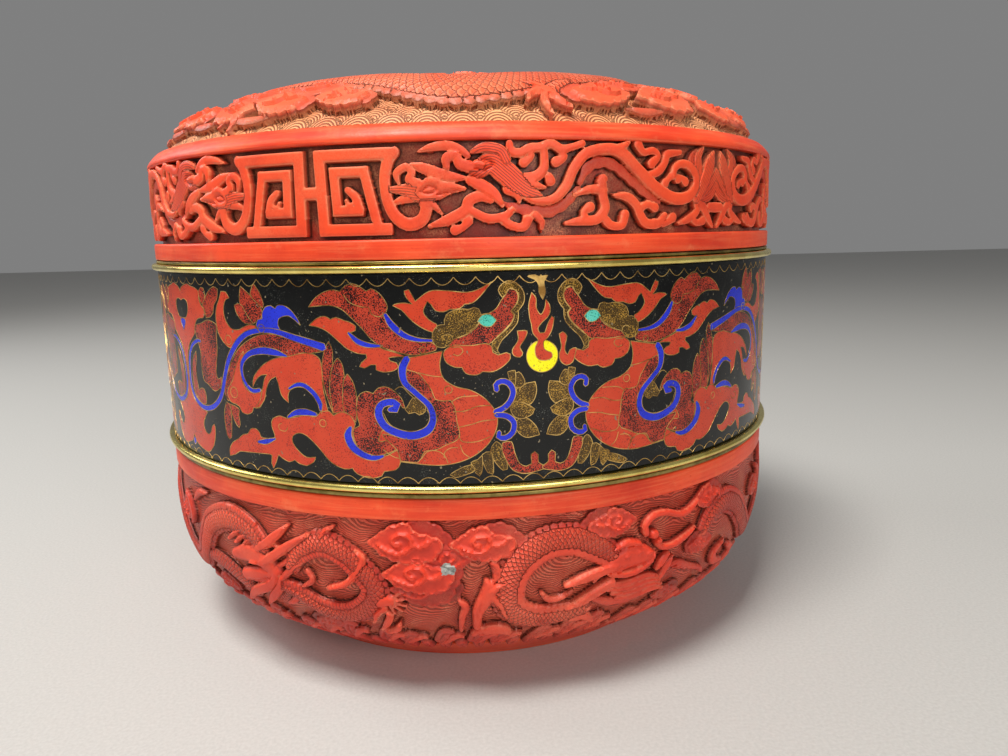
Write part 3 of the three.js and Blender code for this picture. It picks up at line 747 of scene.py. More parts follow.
def carved_band(name, u, w, height, outline, layers, material, node_name, back_steps=2):
    """A carved skin round the box, closed behind by a plain back just under its ground."""
    front = ringed(u, w, height, outline, RIM_RADIUS)
    rows, columns = u.shape
    back_w = np.repeat(np.linspace(w[-1, 0], w[0, 0], back_steps)[:, None], columns, 1)
    back = ringed(np.repeat(u[:1], back_steps, 0), back_w, np.full(back_w.shape, SKIN_BACK), outline,
                  RIM_RADIUS)
    corners = np.concatenate([front, back], 0)
    made_faces = wrapped_faces(rows + back_steps + 1, columns)
    total = (rows + back_steps) * columns
    levels = np.concatenate([height.ravel(), np.zeros(back_steps * columns)])
    made = mesh_piece(name, corners.reshape(-1, 3), triangles_of(made_faces[:, ::-1] % total, levels),
                      material)
    padded = {key: np.concatenate([value, np.zeros((back_steps, columns))], 0) for key,
              value in layers.items()}
    set_layers(made, padded)
    made.data.set_sharp_from_angle(angle=0.75)
    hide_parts(node_name)
    return made


unit = frieze_unit()
flat_u, flat_w, flat_h = unit.surface()
ends = (BAR_ANGLE * np.pi / 180 * RIM_RADIUS, 120 * np.pi / 180 * RIM_RADIUS)
flat_u[:, 0] = ends[0]
flat_u[:, -1] = ends[0] + ends[1] / 2
flat_w[0], flat_w[-1] = unit.w[0], unit.w[-1]
carved_band(
    "lid_frieze", mirror_and_repeat(flat_u, ends), mirror_and_repeat(flat_w), mirror_and_repeat(flat_h),
    frieze_outline, layers_of(unit, FRIEZE_RELIEF, mirror_and_repeat), cinnabar_carved, "lid")

# ------------------------------------------------------------------ lid shell
# The turned body of the lid: plain rim, sunk ground of the frieze, rounded shoulder
# under the dome, and the plain inside, all in the same lacquer without carving.

SHOULDER_RADIUS = 120.4
SHOULDER_TOP = 177.3
WALL_RADIUS = 123.0
COLLAR_RADIUS = 119.2
INNER_RADIUS = COLLAR_RADIUS - 2.8
SOCKET_RADIUS = COLLAR_RADIUS + 0.3  # room for the collar
LID_BOTTOM = 140.6
LID_SEAT = 146.8
BEHIND = 0.3  # the shell passes this far behind the frieze's ground
TURN_STEPS = 240


def turned(name, profile, material, node_name, sharp=0.6):
    """A closed lathe: each profile point (radius, height) in mm goes round the axis. A
    profile that starts and ends on the axis is closed by a fan of triangles at each end."""
    profile = np.asarray(profile, float)
    on_axis = profile[0, 0] == 0
    rings = profile[1:-1] if on_axis else profile
    angle = np.linspace(0, 2 * np.pi, TURN_STEPS, endpoint=False)
    corners = np.stack([rings[:, :1] * MM * np.sin(angle), -rings[:, :1] * MM * np.cos(angle),
                        np.broadcast_to(rings[:, 1:] * MM, (len(rings), TURN_STEPS))], -1).reshape(-1, 3)
    total = len(rings) * TURN_STEPS
    made_faces = [wrapped_faces(len(rings) + (not on_axis), TURN_STEPS) % total]
    if on_axis:
        first, last = np.arange(TURN_STEPS), total - TURN_STEPS + np.arange(TURN_STEPS)
        hub = np.full(TURN_STEPS, total)
        made_faces.append(np.concatenate([np.stack([hub, np.roll(first, -1), first], 1),
                                          np.stack([hub + 1, last, np.roll(last, -1)], 1)]))
        corners = np.concatenate([corners, [[0, 0, profile[0, 1] * MM], [0, 0, profile[-1, 1] * MM]]])
    made = mesh_piece(name, corners, made_faces, material)
    made.data.set_sharp_from_angle(angle=sharp)
    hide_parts(node_name)
    return made


def arc(centre, radius, first, last, steps=6):
    """Profile points of an arc from one angle to another, in degrees."""
    angle = np.radians(np.linspace(first, last, steps))
    return [(centre[0] + radius * np.cos(a), centre[1] + radius * np.sin(a)) for a in angle]


def spline(points):
    """Profile points of a smooth curve through (radius, height) points."""
    rows = curve_through([(*p, 0.0) for p in points], 1.0)
    return [tuple(p) for p in rows[:, :2]]


def plain_lacquer(name, top, low, dust_and_highlight):
    """Lacquer turned smooth and rubbed: soft mottling, fine grit and a low sheen."""
    made, tree, shader = new_material(name, top, 0.4)
    shader.inputs["Specular IOR Level"].default_value = 0.4
    cloudy = noise(tree, 38.0, 5.0, 0.6)
    squeezed = node(tree, "ShaderNodeMapping", {"Vector": place(tree), "Scale": (1.0, 1.0, 26.0)}).outputs[0]
    streaky = noise(tree, 34.0, 5.0, 0.65, squeezed)
    fine = noise(tree, 1200.0, 3.0)
    patchy = noise(tree, 160.0, 4.0, 0.65)
    colour = ramp(tree, cloudy, [(0.3, low), (0.62, top)])
    colour = blend_colour(tree, ramp(tree, patchy, [(0.58, 0.0), (0.74, 0.35)]), colour, dust_and_highlight)
    colour = blend_colour(tree, ramp(tree, streaky, [(0.48, 0.0), (0.7, 0.42)]), colour, dust_and_highlight)
    colour = blend_colour(tree, ramp(tree, streaky, [(0.3, 0.5), (0.45, 0.0)]), colour, low)
    colour = blend_colour(tree, ramp(tree, fine, [(0.28, 0.5), (0.36, 0.0)]), colour, low)
    tree.links.new(colour, shader.inputs["Base Color"])
    tree.links.new(plus(tree, 0.33, times(tree, patchy, 0.25)), shader.inputs["Roughness"])
    fine_normal = bump(tree, shader, fine, 0.0001, 0.35)
    bump(tree, shader, cloudy, 0.0012, 0.35, fine_normal)
    return made


cinnabar_plain = plain_lacquer("cinnabar_plain", srgb(240, 78, 36), srgb(208, 50, 22), srgb(242, 132, 84))

DOME_GROUND = [(0.0, 198.5), (35.0, 198.5), (63.0, 197.4), (87.0, 193.2), (103.0, 187.4), (112.5, 181.6),
               (SHOULDER_RADIUS - 3.2, SHOULDER_TOP)]

turned("lid_shell", [
    (0.0, 192.0),
    *spline([(30.0, 192.0), (62.0, 191.4), (85.0, 187.6), (100.0, 181.6), (110.0, 176.0), (114.7, 171.0)]),
    (INNER_RADIUS, 156.0), (INNER_RADIUS, LID_SEAT), (SOCKET_RADIUS, LID_SEAT), (SOCKET_RADIUS, LID_BOTTOM),
    *arc((RIM_RADIUS - 0.5, LID_BOTTOM + 0.5), 0.5, -90, 0, 4),
    *arc((RIM_RADIUS - 0.7, FRIEZE_BOTTOM - 0.7), 0.7, 0, 90, 5),
    (FRIEZE_GROUND - BEHIND, FRIEZE_BOTTOM), (FRIEZE_GROUND - BEHIND, FRIEZE_TOP),
    *arc((WALL_RADIUS - 0.6, FRIEZE_TOP + 0.6), 0.6, -90, 0, 4),
    *spline([(123.0, 172.8), (122.9, 173.5), (122.3, 174.5), (121.0, 176.0), (120.0, 176.9), (118.9, 177.35),
             (117.6, 177.2)]),
    (116.8, 176.6),
    *spline([(r, z - 0.6) for r, z in DOME_GROUND[::-1]])[2:],
], cinnabar_plain, "lid")

# ------------------------------------------------------------------ bowl carving
# The bowl of carved red lacquer: dragons that arch through ruyi clouds over a ground of
# fine wave lines, above a border of rocks and breaking waves. It repeats three times.

BOWL_CARVING_TOP = 64.6
BOWL_LINE = 5.5  # places on the bowl are counted down from the middle of its plain band
BOWL_RELIEF = 2.7
BOWL_TALLEST = 3.3
BOWL_CELL, BOWL_COLUMNS = 0.54, 496
BOWL_ROWS = (58, 50)
BOWL_SPLIT, BOWL_CARVED = 30.0, 58.0
WAVE_PITCH = 0.9
BOWL_GROUND = [(121.3, 64.6), (121.5, 52.0), (120.1, 39.0), (116.3, 28.3), (111.0, 21.4), (102.0, 14.2),
               (92.4, 6.8), (86.9, 2.2)]


def outline_of(points):
    """A function from mm along an outline to its points and outward normals, both as
    (radius, height): the tangent turned a quarter to the outside."""
    rows = curve_through([(*p, 0.0) for p in points], 0.3)[:, :2]
    length, run = lengths(rows), directions(rows)
    normal = np.stack([-run[:, 1], run[:, 0]], 1)

    def at(w):
        """Point and normal at each distance in `w`."""
        return ((np.interp(w, length, rows[:, 0]), np.interp(w, length, rows[:, 1])),
                (np.interp(w, length, normal[:, 0]), np.interp(w, length, normal[:, 1])))
    return at


def cloud(unit, u, w, size, relief, lean=0.0, flip=1, scale=1.0, hollow=0.42):
    """A ruyi cloud about `size` mm from its middle to its tips: a scalloped plate with a
    thin rim, a lower plate behind it and a raised comma curl, in parts of the size."""
    turn = np.array([[np.cos(lean), -np.sin(lean)], [np.sin(lean), np.cos(lean)]])

    def put(path):
        """Rows of x, y and a width or radius turned, scaled and moved to the cloud's place."""
        rows = np.asarray(path, float)
        return np.column_stack([(rows[:, :2] * [flip, 1]) @ turn.T * size + [u, w], rows[:, 2] * size])

    unit.plate(put([(0.1, -0.34, 0.24), (0.36, -0.36, 0.25), (0.62, -0.24, 0.25), (0.84, -0.04, 0.24),
                    (0.78, 0.2, 0.2), (0.4, 0.0, 0.36)]),
               0.66 * scale * relief, hollow=0.7 * hollow)
    unit.plate(put([(-1.02, 0.02, 0.07), (-0.93, 0.03, 0.12), (-0.8, 0.02, 0.19), (-0.62, -0.06, 0.24),
                    (-0.4, -0.2, 0.25), (-0.14, -0.28, 0.25), (-0.64, 0.18, 0.2), (-0.38, 0.26, 0.23),
                    (-0.1, 0.32, 0.23), (0.2, 0.32, 0.23), (0.48, 0.24, 0.24), (0.62, 0.06, 0.22),
                    (-0.4, 0.04, 0.3), (0.0, 0.04, 0.38), (0.34, 0.08, 0.32)]), 0.94 * scale * relief,
               hollow=hollow)
    unit.ribbon(put([(-0.8, 0.06, 0.1), (-0.6, 0.17, 0.15), (-0.34, 0.25, 0.17), (-0.08, 0.2, 0.17),
                     (0.08, 0.02, 0.16), (0.0, -0.17, 0.15), (-0.24, -0.22, 0.14), (-0.42, -0.08, 0.15),
                     (-0.3, 0.04, 0.21), (-0.26, 0.04, 0.22)]), 1.16 * scale * relief, edge=0.55, dome=0.35)
    unit.ribbon(put([(0.08, 0.02, 0.14), (0.26, 0.08, 0.16), (0.46, 0.0, 0.2), (0.48, -0.02, 0.2)]),
                1.1 * scale * relief, edge=0.5, dome=0.35)


def bowl_unit():
    """A third of the bowl's carving, from -60 to 60 degrees."""
    per_degree = np.pi / 180 * RIM_RADIUS
    columns = np.linspace(-60, 60, BOWL_COLUMNS + 1)[:-1] * per_degree
    down = np.concatenate([np.linspace(0, BOWL_SPLIT, BOWL_ROWS[0] + 1),
                           np.linspace(BOWL_SPLIT, BOWL_CARVED, BOWL_ROWS[1] + 1)[1:]])
    u, w = np.meshgrid(columns, down)
    unit = Carving(u, w, BOWL_CELL)

    def both(draw, path):
        """Draws a form, and again a unit away where it passes the end of the unit."""
        rows = np.asarray(path, float).copy()
        rows[:, 0] *= per_degree
        rows[:, 1] -= BOWL_LINE
        for shift in (0, -1, 1):
            moved = rows + np.array([shift * 120 * per_degree] + [0] * (rows.shape[1] - 1))
            if moved[:, 0].max() > u.min() - 8 and moved[:, 0].min() < u.max() + 8:
                draw(moved)

    def ribbon(path, lift=0.0, **how):
        both(lambda rows: unit.ribbon(rows, BOWL_RELIEF + lift, **how), path)

    def line(path, depth=0.5, width=0.6):
        both(lambda rows: unit.line(rows, depth, width), path)

    def clouds(places):
        for angle, v, size, flip, scale in places:
            both(lambda rows: cloud(unit, rows[0, 0], rows[0, 1], size, BOWL_RELIEF, 0.0, flip, scale),
                 [(angle, v)])

    def body(path, fin_side=1, lift=0.0, belly=SKIN_RIBS):
        """A dragon's body: a round back with scales, a toothed fin along one side and a
        ribbed belly along the other."""
        if fin_side:
            ribbon(path, -1.1, offset=-0.93 * fin_side, notch=1.0, pitch=2.4, edge=0.4, widest=0.8)
        if belly is not None:
            ribbon(path, -0.5 + lift, offset=0.82 * fin_side, edge=0.5, dome=0.4, skin=belly, **(
                {"notch": 0.5, "pitch": 2.1} if belly == SKIN_PLAIN else {"notch": 0.1, "pitch": 1.25}))
            ribbon(path, lift, offset=-0.12 * fin_side, part=0.86, skin=SKIN_SCALES, edge=3.6, dome=0.58)
        else:
            ribbon(path, lift, skin=SKIN_SCALES, edge=3.6, dome=0.58)

    # Rocks and breaking waves along the bottom, and the lotus petals under them.
    for k in range(24):
        middle = -60 + 5.0 * k + 0.8 * np.sin(2.3 * k)
        tall = 3.6 + 1.6 * np.sin(1.7 * k + 0.4)
        ribbon([(middle - 1.6, 52.5, 4.0), (middle - 0.4, 50.0 - tall, 4.4),
                (middle + 0.7, 49.4 - tall, 2.2)], -0.9, edge=1.2)
        ribbon([(middle - 0.8, 53.5, 2.6), (middle + 0.9, 50.4 - tall / 2, 3.0),
                (middle + 2.2, 49.2 - tall / 2, 1.8), (middle + 2.3, 50.8 - tall / 2, 1.2)], -0.4, edge=1.0)
        line([(middle - 1.4, 51.5), (middle - 0.6, 50.5 - tall), (middle + 0.2, 50.0 - tall)], 0.6, 0.6)
    for k in range(40):
        middle = -60 + 3.0 * k
        ribbon([(middle, 55.6, 4.8), (middle, 59.5, 5.0), (middle, 63.0, 4.4)], -0.7, edge=1.4, dome=0.6)
        line([(middle, 55.4), (middle, 62)], 0.5, 0.5)

    # The long dragon that passes the end of the unit.
    body([(38.6, 22.5, 5.4), (40.6, 18.0, 7.4), (44.5, 15.4, 8.4), (48.8, 18.6, 8.8), (52.6, 25.6, 8.8),
          (56.8, 33.4, 8.4), (61.4, 37.6, 8.0), (65.8, 34.6, 8.2), (69.4, 26.4, 8.8), (73.0, 17.6, 9.0),
          (78.4, 13.0, 8.8), (83.4, 14.6, 8.0), (86.4, 19.4, 7.0)], -1)
    body([(-51, 31.6, 5.0), (-46.4, 31.4, 7.0), (-42, 34.0, 7.6), (-38.4, 38.4, 6.4)], 0, -0.5, None)
    ribbon([(46, 31, 1.2), (43.4, 34, 3.4), (44.6, 38.4, 3.6), (48, 40.6, 1.6)], -0.3)
    ribbon([(49, 35, 2.4), (51.6, 38.8, 3.4), (50.6, 43, 2.6)], -0.4)
    ribbon([(-57, 24, 1.0), (-55.4, 20, 2.8), (-56, 15, 2.8), (-58.4, 12.4, 1.4)], -0.5)
    ribbon([(-53.4, 13.0, 1.2), (-51.4, 9.4, 2.8), (-48.6, 8.2, 1.2)], -0.6)
    # Its head: horns that sweep up and right, brow, muzzle, jaw and whiskers.
    ribbon([(-40.4, 25, 4), (-37.4, 23.4, 6.4), (-34.6, 23.6, 6.8), (-32.4, 25.4, 5.0)], 0.1, dome=0.5,
           edge=2.0)
    ribbon([(-38.6, 31.6, 5.0), (-35.6, 30.2, 5.6), (-32.8, 28.0, 4.6), (-31.0, 26.6, 3.0)], 0.0, dome=0.5,
           edge=1.6)
    ribbon([(-34.4, 20.0, 3.0), (-32.6, 17.8, 3.2), (-30.2, 14.0, 2.8), (-28.3, 10.6, 1.2)], 0.4)
    ribbon([(-34.0, 25.0, 3.0), (-31.4, 21.6, 3.2), (-28.4, 17.2, 2.8), (-24.7, 12.4, 1.2)], 0.5)
    ribbon([(-40.8, 43.0, 1.4), (-38.0, 38.0, 3.4), (-34.8, 34.4, 3.8), (-32.4, 31.0, 3.2),
            (-31.2, 27.6, 2.4)], 0.2)
    ribbon([(-35.6, 41.6, 1.2), (-33.4, 37.0, 3.4), (-31.6, 33.0, 3.2), (-30.4, 29.0, 2.0)], 0.1)
    ribbon([(-31.6, 32.0, 1.0), (-29.6, 27.4, 2.2), (-27.6, 24.2, 2.2), (-25.8, 21.2, 1.2)], -0.3)
    ribbon([(-30.8, 39.2, 1.2), (-29.2, 37.0, 2.4), (-27.8, 33.2, 1.4)], -0.3)
    ribbon([(-31.4, 25.6, 1.4), (-29.0, 22.6, 2.0), (-26.2, 17.4, 1.0)], -0.3)
    ribbon([(-36.4, 25.6, 1.8), (-35.2, 25.4, 1.8)], 0.9, dome=1.0, edge=0.9)
    for k in range(5):
        ribbon([(-41.6 + 1.7 * k, 20.2 + 0.5 * k, 1.4), (-39.4 + 1.7 * k, 17.0 + 0.4 * k, 1.8),
                (-36.2 + 1.6 * k, 14.2 + 0.9 * k, 0.8)], -0.1)
    line([(-38.2, 33.0), (-35.6, 31.8), (-33.2, 29.8)])
    line([(-38.4, 28.0), (-35.6, 27.4), (-33.0, 27.6)])

    # Dragon on the left of the middle: a hump, its hind part and claw.
    body([(-28.4, 24, 4.6), (-26.4, 18.4, 6.6), (-22.6, 14.8, 7.6), (-19.0, 17.4, 7.6), (-16.4, 22.6, 8.0),
          (-14.8, 28.4, 8.0), (-16.2, 34.4, 7.6), (-19.6, 38.6, 7.4), (-24.0, 38.0, 7.0), (-27.6, 33.6, 6.0),
          (-30.4, 32.0, 4.0)], 1)
    ribbon([(-16.9, 15.6, 1.2), (-16.1, 18.2, 2.2), (-17.3, 23.0, 2.2), (-19.2, 27.0, 2.0),
            (-22.0, 29.0, 1.2)], 0.5)
    ribbon([(-22.4, 12.4, 1.8), (-21.8, 10.4, 1.8), (-20.4, 8.8, 1.0)], -0.1)
    ribbon([(-14.2, 32.6, 3.6), (-12.8, 31.4, 4.2)], 0.1, dome=0.7, edge=1.4)
    for k in range(5):
        swing = np.radians(-50 + 32 * k)
        ribbon([(-12.9 + 0.8 * np.cos(swing), 32.0 + 1.4 * np.sin(swing), 1.2),
                (-12.7 + 2.6 * np.cos(swing), 32.2 + 4.6 * np.sin(swing), 0.7)], -0.2)
    ribbon([(-15.8, 41.0, 1.0), (-15.0, 37.2, 2.2), (-13.7, 34.4, 2.4)], 0.1)
    ribbon([(-14.8, 44.0, 1.0), (-13.6, 40.4, 2.4), (-13.0, 37.2, 2.2), (-13.5, 35.4, 1.2)], 0.2)
    ribbon([(-14.4, 45.4, 1.2), (-12.5, 43.6, 2.4), (-11.7, 40.6, 1.2)], 0.1)
    ribbon([(-25.4, 24.4, 1.6), (-24.8, 27.6, 2.0), (-26.6, 30.4, 1.2)], -0.4)

    # Dragon on the right of the middle: a scaled loop with a ribbed belly.
    body([(16.4, 38.6, 6.0), (12.8, 40.0, 7.8), (8.4, 40.0, 8.6), (5.0, 35.6, 9.2), (4.4, 28.4, 9.4),
          (5.8, 20.6, 9.4), (9.4, 14.8, 9.2), (13.8, 14.2, 9.0), (17.4, 17.8, 8.2), (20.0, 21.6, 7.0)], 1,
         0.1, SKIN_PLAIN)
    ribbon([(9.2, 30.6, 1.4), (10.4, 33.4, 2.0), (12.4, 33.2, 1.8), (13.8, 31.2, 1.0)], -0.4)
    ribbon([(12.8, 28.8, 1.6), (15.6, 27.2, 3.2), (18.6, 25.8, 3.4), (20.6, 25.2, 2.6)], 0.5)
    ribbon([(13.3, 37.2, 1.6), (15.6, 35.0, 3.2), (18.2, 32.2, 3.6), (20.0, 30.4, 3.0)], 0.6)
    ribbon([(1.6, 18.2, 0.8), (2.7, 20.4, 3.4), (2.8, 23.4, 3.0), (2.0, 25.6, 1.2)], -0.3, edge=1.2, dome=0.6)
    for k in range(3):
        line([(1.9 + 0.2 * k, 19.4 + 1.2 * k), (2.7 + 0.1 * k, 21.4 + 0.8 * k), (3.0, 24.2)], 0.4, 0.4)
    ribbon([(1.3, 24.6, 1.6), (1.7, 27.6, 4.6), (0.9, 31.6, 4.6), (0.0, 36.0, 3.6), (-0.2, 41.6, 2.8)], 0.3,
           dome=0.5, edge=1.4)
    ribbon([(1.9, 28.0, 2.4), (3.0, 26.4, 2.0), (4.5, 25.2, 0.8)], 0.6)
    ribbon([(2.3, 30.2, 2.2), (3.2, 33.0, 2.4), (4.0, 37.2, 2.0)], 0.4)
    ribbon([(-2.5, 31.6, 1.6), (-1.8, 33.6, 2.4), (-2.3, 37.8, 2.2), (-2.6, 43.6, 1.2)], -0.1)
    ribbon([(-0.6, 45.4, 3.0), (1.6, 43.6, 4.2), (3.8, 44.2, 4.0), (4.8, 46.6, 1.6)], 0.1, edge=1.2)
    line([(0.8, 28.0), (0.5, 32.0), (-0.1, 37.0)], 0.4, 0.5)
    # Its head: brow, eye, curls, muzzle with whiskers, jaw and beard.
    ribbon([(20.4, 24.6, 6.2), (22.8, 23.4, 8.2), (25.0, 23.6, 7.2), (26.6, 24.4, 4.6)], 0.2, dome=0.5,
           edge=2.2)
    ribbon([(20.2, 19.4, 1.8), (22.2, 18.2, 2.8), (24.4, 19.2, 2.4)], 0.5, dome=0.7, edge=1.0)
    for angle, v, wide in ((27.1, 17.4, 3.6), (24.4, 22.0, 2.4), (26.3, 23.2, 3.2), (22.3, 22.6, 2.6),
                           (28.0, 20.0, 3.0)):
        ribbon([(angle - 0.1, v, wide), (angle + 0.1, v, wide)], 0.9, dome=0.9, edge=1.4)
    ribbon([(25.7, 16.6, 2.2), (25.6, 13.6, 2.4), (27.2, 11.4, 2.4), (29.6, 11.5, 2.2), (32.4, 13.4, 2.2),
            (34.4, 13.0, 2.4), (36.2, 10.8, 1.6)], 0.3)
    ribbon([(28.0, 21.2, 2.0), (29.0, 22.7, 2.2), (31.0, 23.1, 2.4), (33.4, 21.8, 2.4), (35.8, 19.6, 1.4)],
           0.3)
    ribbon([(19.8, 27.4, 2.4), (22.4, 28.8, 2.4), (25.0, 28.2, 2.4), (26.9, 26.0, 2.0), (27.3, 24.0, 1.6)],
           0.4)
    for k, shift in enumerate((0.0, 2.0, 4.0, 6.2)):
        ribbon([(18.8 + 0.9 * k, 31.4 + shift, 1.6), (22.6 + 0.8 * k, 32.4 + shift, 2.2),
                (26.4 + 0.7 * k, 31.6 + shift, 2.0), (28.8 + 0.7 * k, 33.0 + shift, 1.2)], -0.1)
    ribbon([(28.4, 30.0, 1.6), (29.4, 27.4, 3.0), (30.4, 25.6, 1.4)], 0.1)
    ribbon([(29.4, 34.0, 1.8), (30.4, 30.4, 2.8), (31.4, 27.4, 1.2)], -0.1)
    for k in range(6):
        ribbon([(30.8 + 1.4 * k, 31.0 + 1.1 * k, 1.4), (33.0 + 1.4 * k, 30.8 + 1.4 * k, 2.2),
                (35.6 + 1.2 * k, 33.0 + 1.6 * k, 1.0)], -0.5)
    for k in range(4):
        ribbon([(17.2 + 0.4 * k, 29.4 - 1.9 * k, 1.0), (18.6 + 0.3 * k, 26.6 - 1.8 * k, 1.5),
                (20.2 + 0.2 * k, 24.0 - 1.7 * k, 0.8)], -0.3)
    ribbon([(17.6, 36.0, 2.0), (20.0, 38.4, 3.2), (23.6, 39.6, 3.0), (27.6, 38.8, 1.4)], -0.5)
    ribbon([(14.2, 43.0, 2.4), (16.4, 42.6, 3.6), (18.2, 46.0, 2.2)], -0.1)
    line([(21.0, 26.0), (23.4, 26.6), (25.6, 26.0)])
    line([(20.4, 21.2), (22.0, 20.6), (23.6, 20.9)], 0.4, 0.5)

    clouds([(-7.2, 27.6, 10.6, 1, 0.7), (-9.2, 12.4, 12.0, 1, 1.0), (-4.6, 17.6, 8.0, -1, 0.8),
            (-7.6, 22.4, 11.6, 1, 1.0), (1.6, 12.8, 10.4, 1, 1.0), (19.6, 10.8, 9.0, -1, 0.9),
            (39.8, 10.6, 8.0, 1, 0.95), (-59.4, 19.4, 7.2, -1, 0.85), (38.0, 26.4, 7.0, -1, 0.85),
            (32.6, 42.8, 6.6, 1, 0.7), (-24.4, 44.8, 6.4, -1, 0.7), (-47.6, 41.4, 7.0, 1, 0.75)])

    # The ground's wave lines flow round the box and swell round each form.
    swell = np.exp(-unit.measure_ground() / 2.4)
    unit.height = np.minimum(unit.height, BOWL_TALLEST)
    drift = w + 1.5 * np.sin(u / 8.6 + 0.7) + 0.9 * np.sin(u / 3.9 + w / 4.0)
    unit.phase = (drift + 2.4 * swell) / WAVE_PITCH
    return unit


bowl_outline = outline_of(BOWL_GROUND)
unit = bowl_unit()
flat_u, flat_w, flat_h = unit.surface()
flat_w[0] = unit.w[0]
flat_w[-1] = unit.w[-1]
third = 120 * np.pi / 180 * RIM_RADIUS


def three_times(values, turning=False):
    """Three units side by side; positions move on by a third of the way round."""
    return np.concatenate([values + (third * k if turning else 0.0) for k in range(REPEATS)], 1)


# A knock on a cloud of the front, down to the grey priming.
CHIP, CHIP_RADIUS, CHIP_RAGGED = (-0.0086, -0.1237, 0.0495), 0.0021, 0.0032
cinnabar_bowl = lacquer_finish("cinnabar_bowl", srgb(226, 66, 40), srgb(184, 44, 30), srgb(78, 16, 12),
                               srgb(212, 76, 52), srgb(236, 140, 106), 0.45, scale_size=2.3, crevice_shade=0.5)
tree = cinnabar_bowl.node_tree
shader = tree.nodes["Principled BSDF"]
apart = node(tree, "ShaderNodeVectorMath", {0: place(tree), 1: CHIP}, operation="DISTANCE").outputs["Value"]
ragged = plus(tree, apart, times(tree, minus(tree, noise(tree, 420.0, 3.0), 0.5), CHIP_RAGGED))
whole = shader.inputs["Base Color"].links[0].from_socket
chipped = blend_colour(tree, math(tree, "LESS_THAN", ragged, CHIP_RADIUS), whole, srgb(150, 152, 146))
tree.links.new(chipped, shader.inputs["Base Color"])
for name, rows in (("bowl_relief_upper", slice(0, BOWL_ROWS[0] + 1)),
                   ("bowl_relief_lower", slice(BOWL_ROWS[0], None))):
    layers = {key: value[rows] for key, value in layers_of(unit, BOWL_RELIEF, three_times).items()}
    carved_band(name, three_times(flat_u, True)[rows], three_times(flat_w)[rows], three_times(flat_h)[rows],
                bowl_outline, layers, cinnabar_bowl, "base_bowl", back_steps=5)

# ------------------------------------------------------------------ bowl shell
# The turned body of the bowl: a plain polished band at the mouth, the plain curve down
# to the foot ring, the sunk underside, and the plain inside.

BOWL_TOP = 71.2
FOOT_RADIUS, FOOT_WIDTH, FOOT_RECESS, FLOOR_TOP = 86.5, 7.0, 2.0, 8.0
BOWL_SEAT = 65.4
LIP = 0.9  # the plain curve stands this much proud of the carving's ground


def beside(w, gap):
    """Profile points at distances `w` down the bowl, moved along its normal by `gap`."""
    (r, z), (normal_r, normal_z) = bowl_outline(w)
    return list(zip(r + gap * normal_r, z + gap * normal_z))


turned("bowl_shell", [
    (0.0, FOOT_RECESS), (FOOT_RADIUS - FOOT_WIDTH, FOOT_RECESS),
    *arc((FOOT_RADIUS - FOOT_WIDTH + 0.6, 0.6), 0.6, 180, 270, 4),
    *arc((FOOT_RADIUS - 1.0, 1.0), 1.0, 270, 350, 5),
    *beside(np.linspace(BOWL_CARVED, 76.0, 8), LIP)[::-1],
    *beside(np.linspace(BOWL_CARVED, 0.0, 30), SKIN_BACK),
    *arc((RIM_RADIUS - 0.5, BOWL_CARVING_TOP + 0.5), 0.5, -90, 0, 4),
    *arc((RIM_RADIUS - 0.6, BOWL_TOP - 0.6), 0.6, 0, 90, 4),
    (SOCKET_RADIUS, BOWL_TOP), (SOCKET_RADIUS, BOWL_SEAT), (INNER_RADIUS, BOWL_SEAT),
    *spline([(116.2, 60.0), (115.6, 46.0), (113.0, 34.0), (106.0, 24.0), (95.0, 15.4), (84.0, 9.0),
             (79.5, FLOOR_TOP)]),
    (0.0, FLOOR_TOP),
], cinnabar_plain, "base_bowl")

# ------------------------------------------------------------------ dome carving
# The crown of the lid: two scaled dragons chase a pearl among deep cut ruyi clouds over a
# pale ground of fine fans. The second dragon is the first turned half round.

DOME_RELIEF = 2.55
DOME_EDGE = 117.4
DOME_SPLIT = 74.0
DOME_COLUMNS, DOME_ROWS = 1120, 84
FAN_RADIUS, FAN_PITCH = 5.4, 0.85
BORDER_CELL, MIDDLE_CELL = 0.62, 0.55


def dome_height(radius):
    """Height and outward normal of the dome's ground at a radius."""
    rows = curve_through([(*p, 0.0) for p in DOME_GROUND], 0.3)[:, :2]
    run = directions(rows)
    return [np.interp(radius, rows[:, 0], values) for values in (rows[:, 1], -run[:, 1], run[:, 0])]


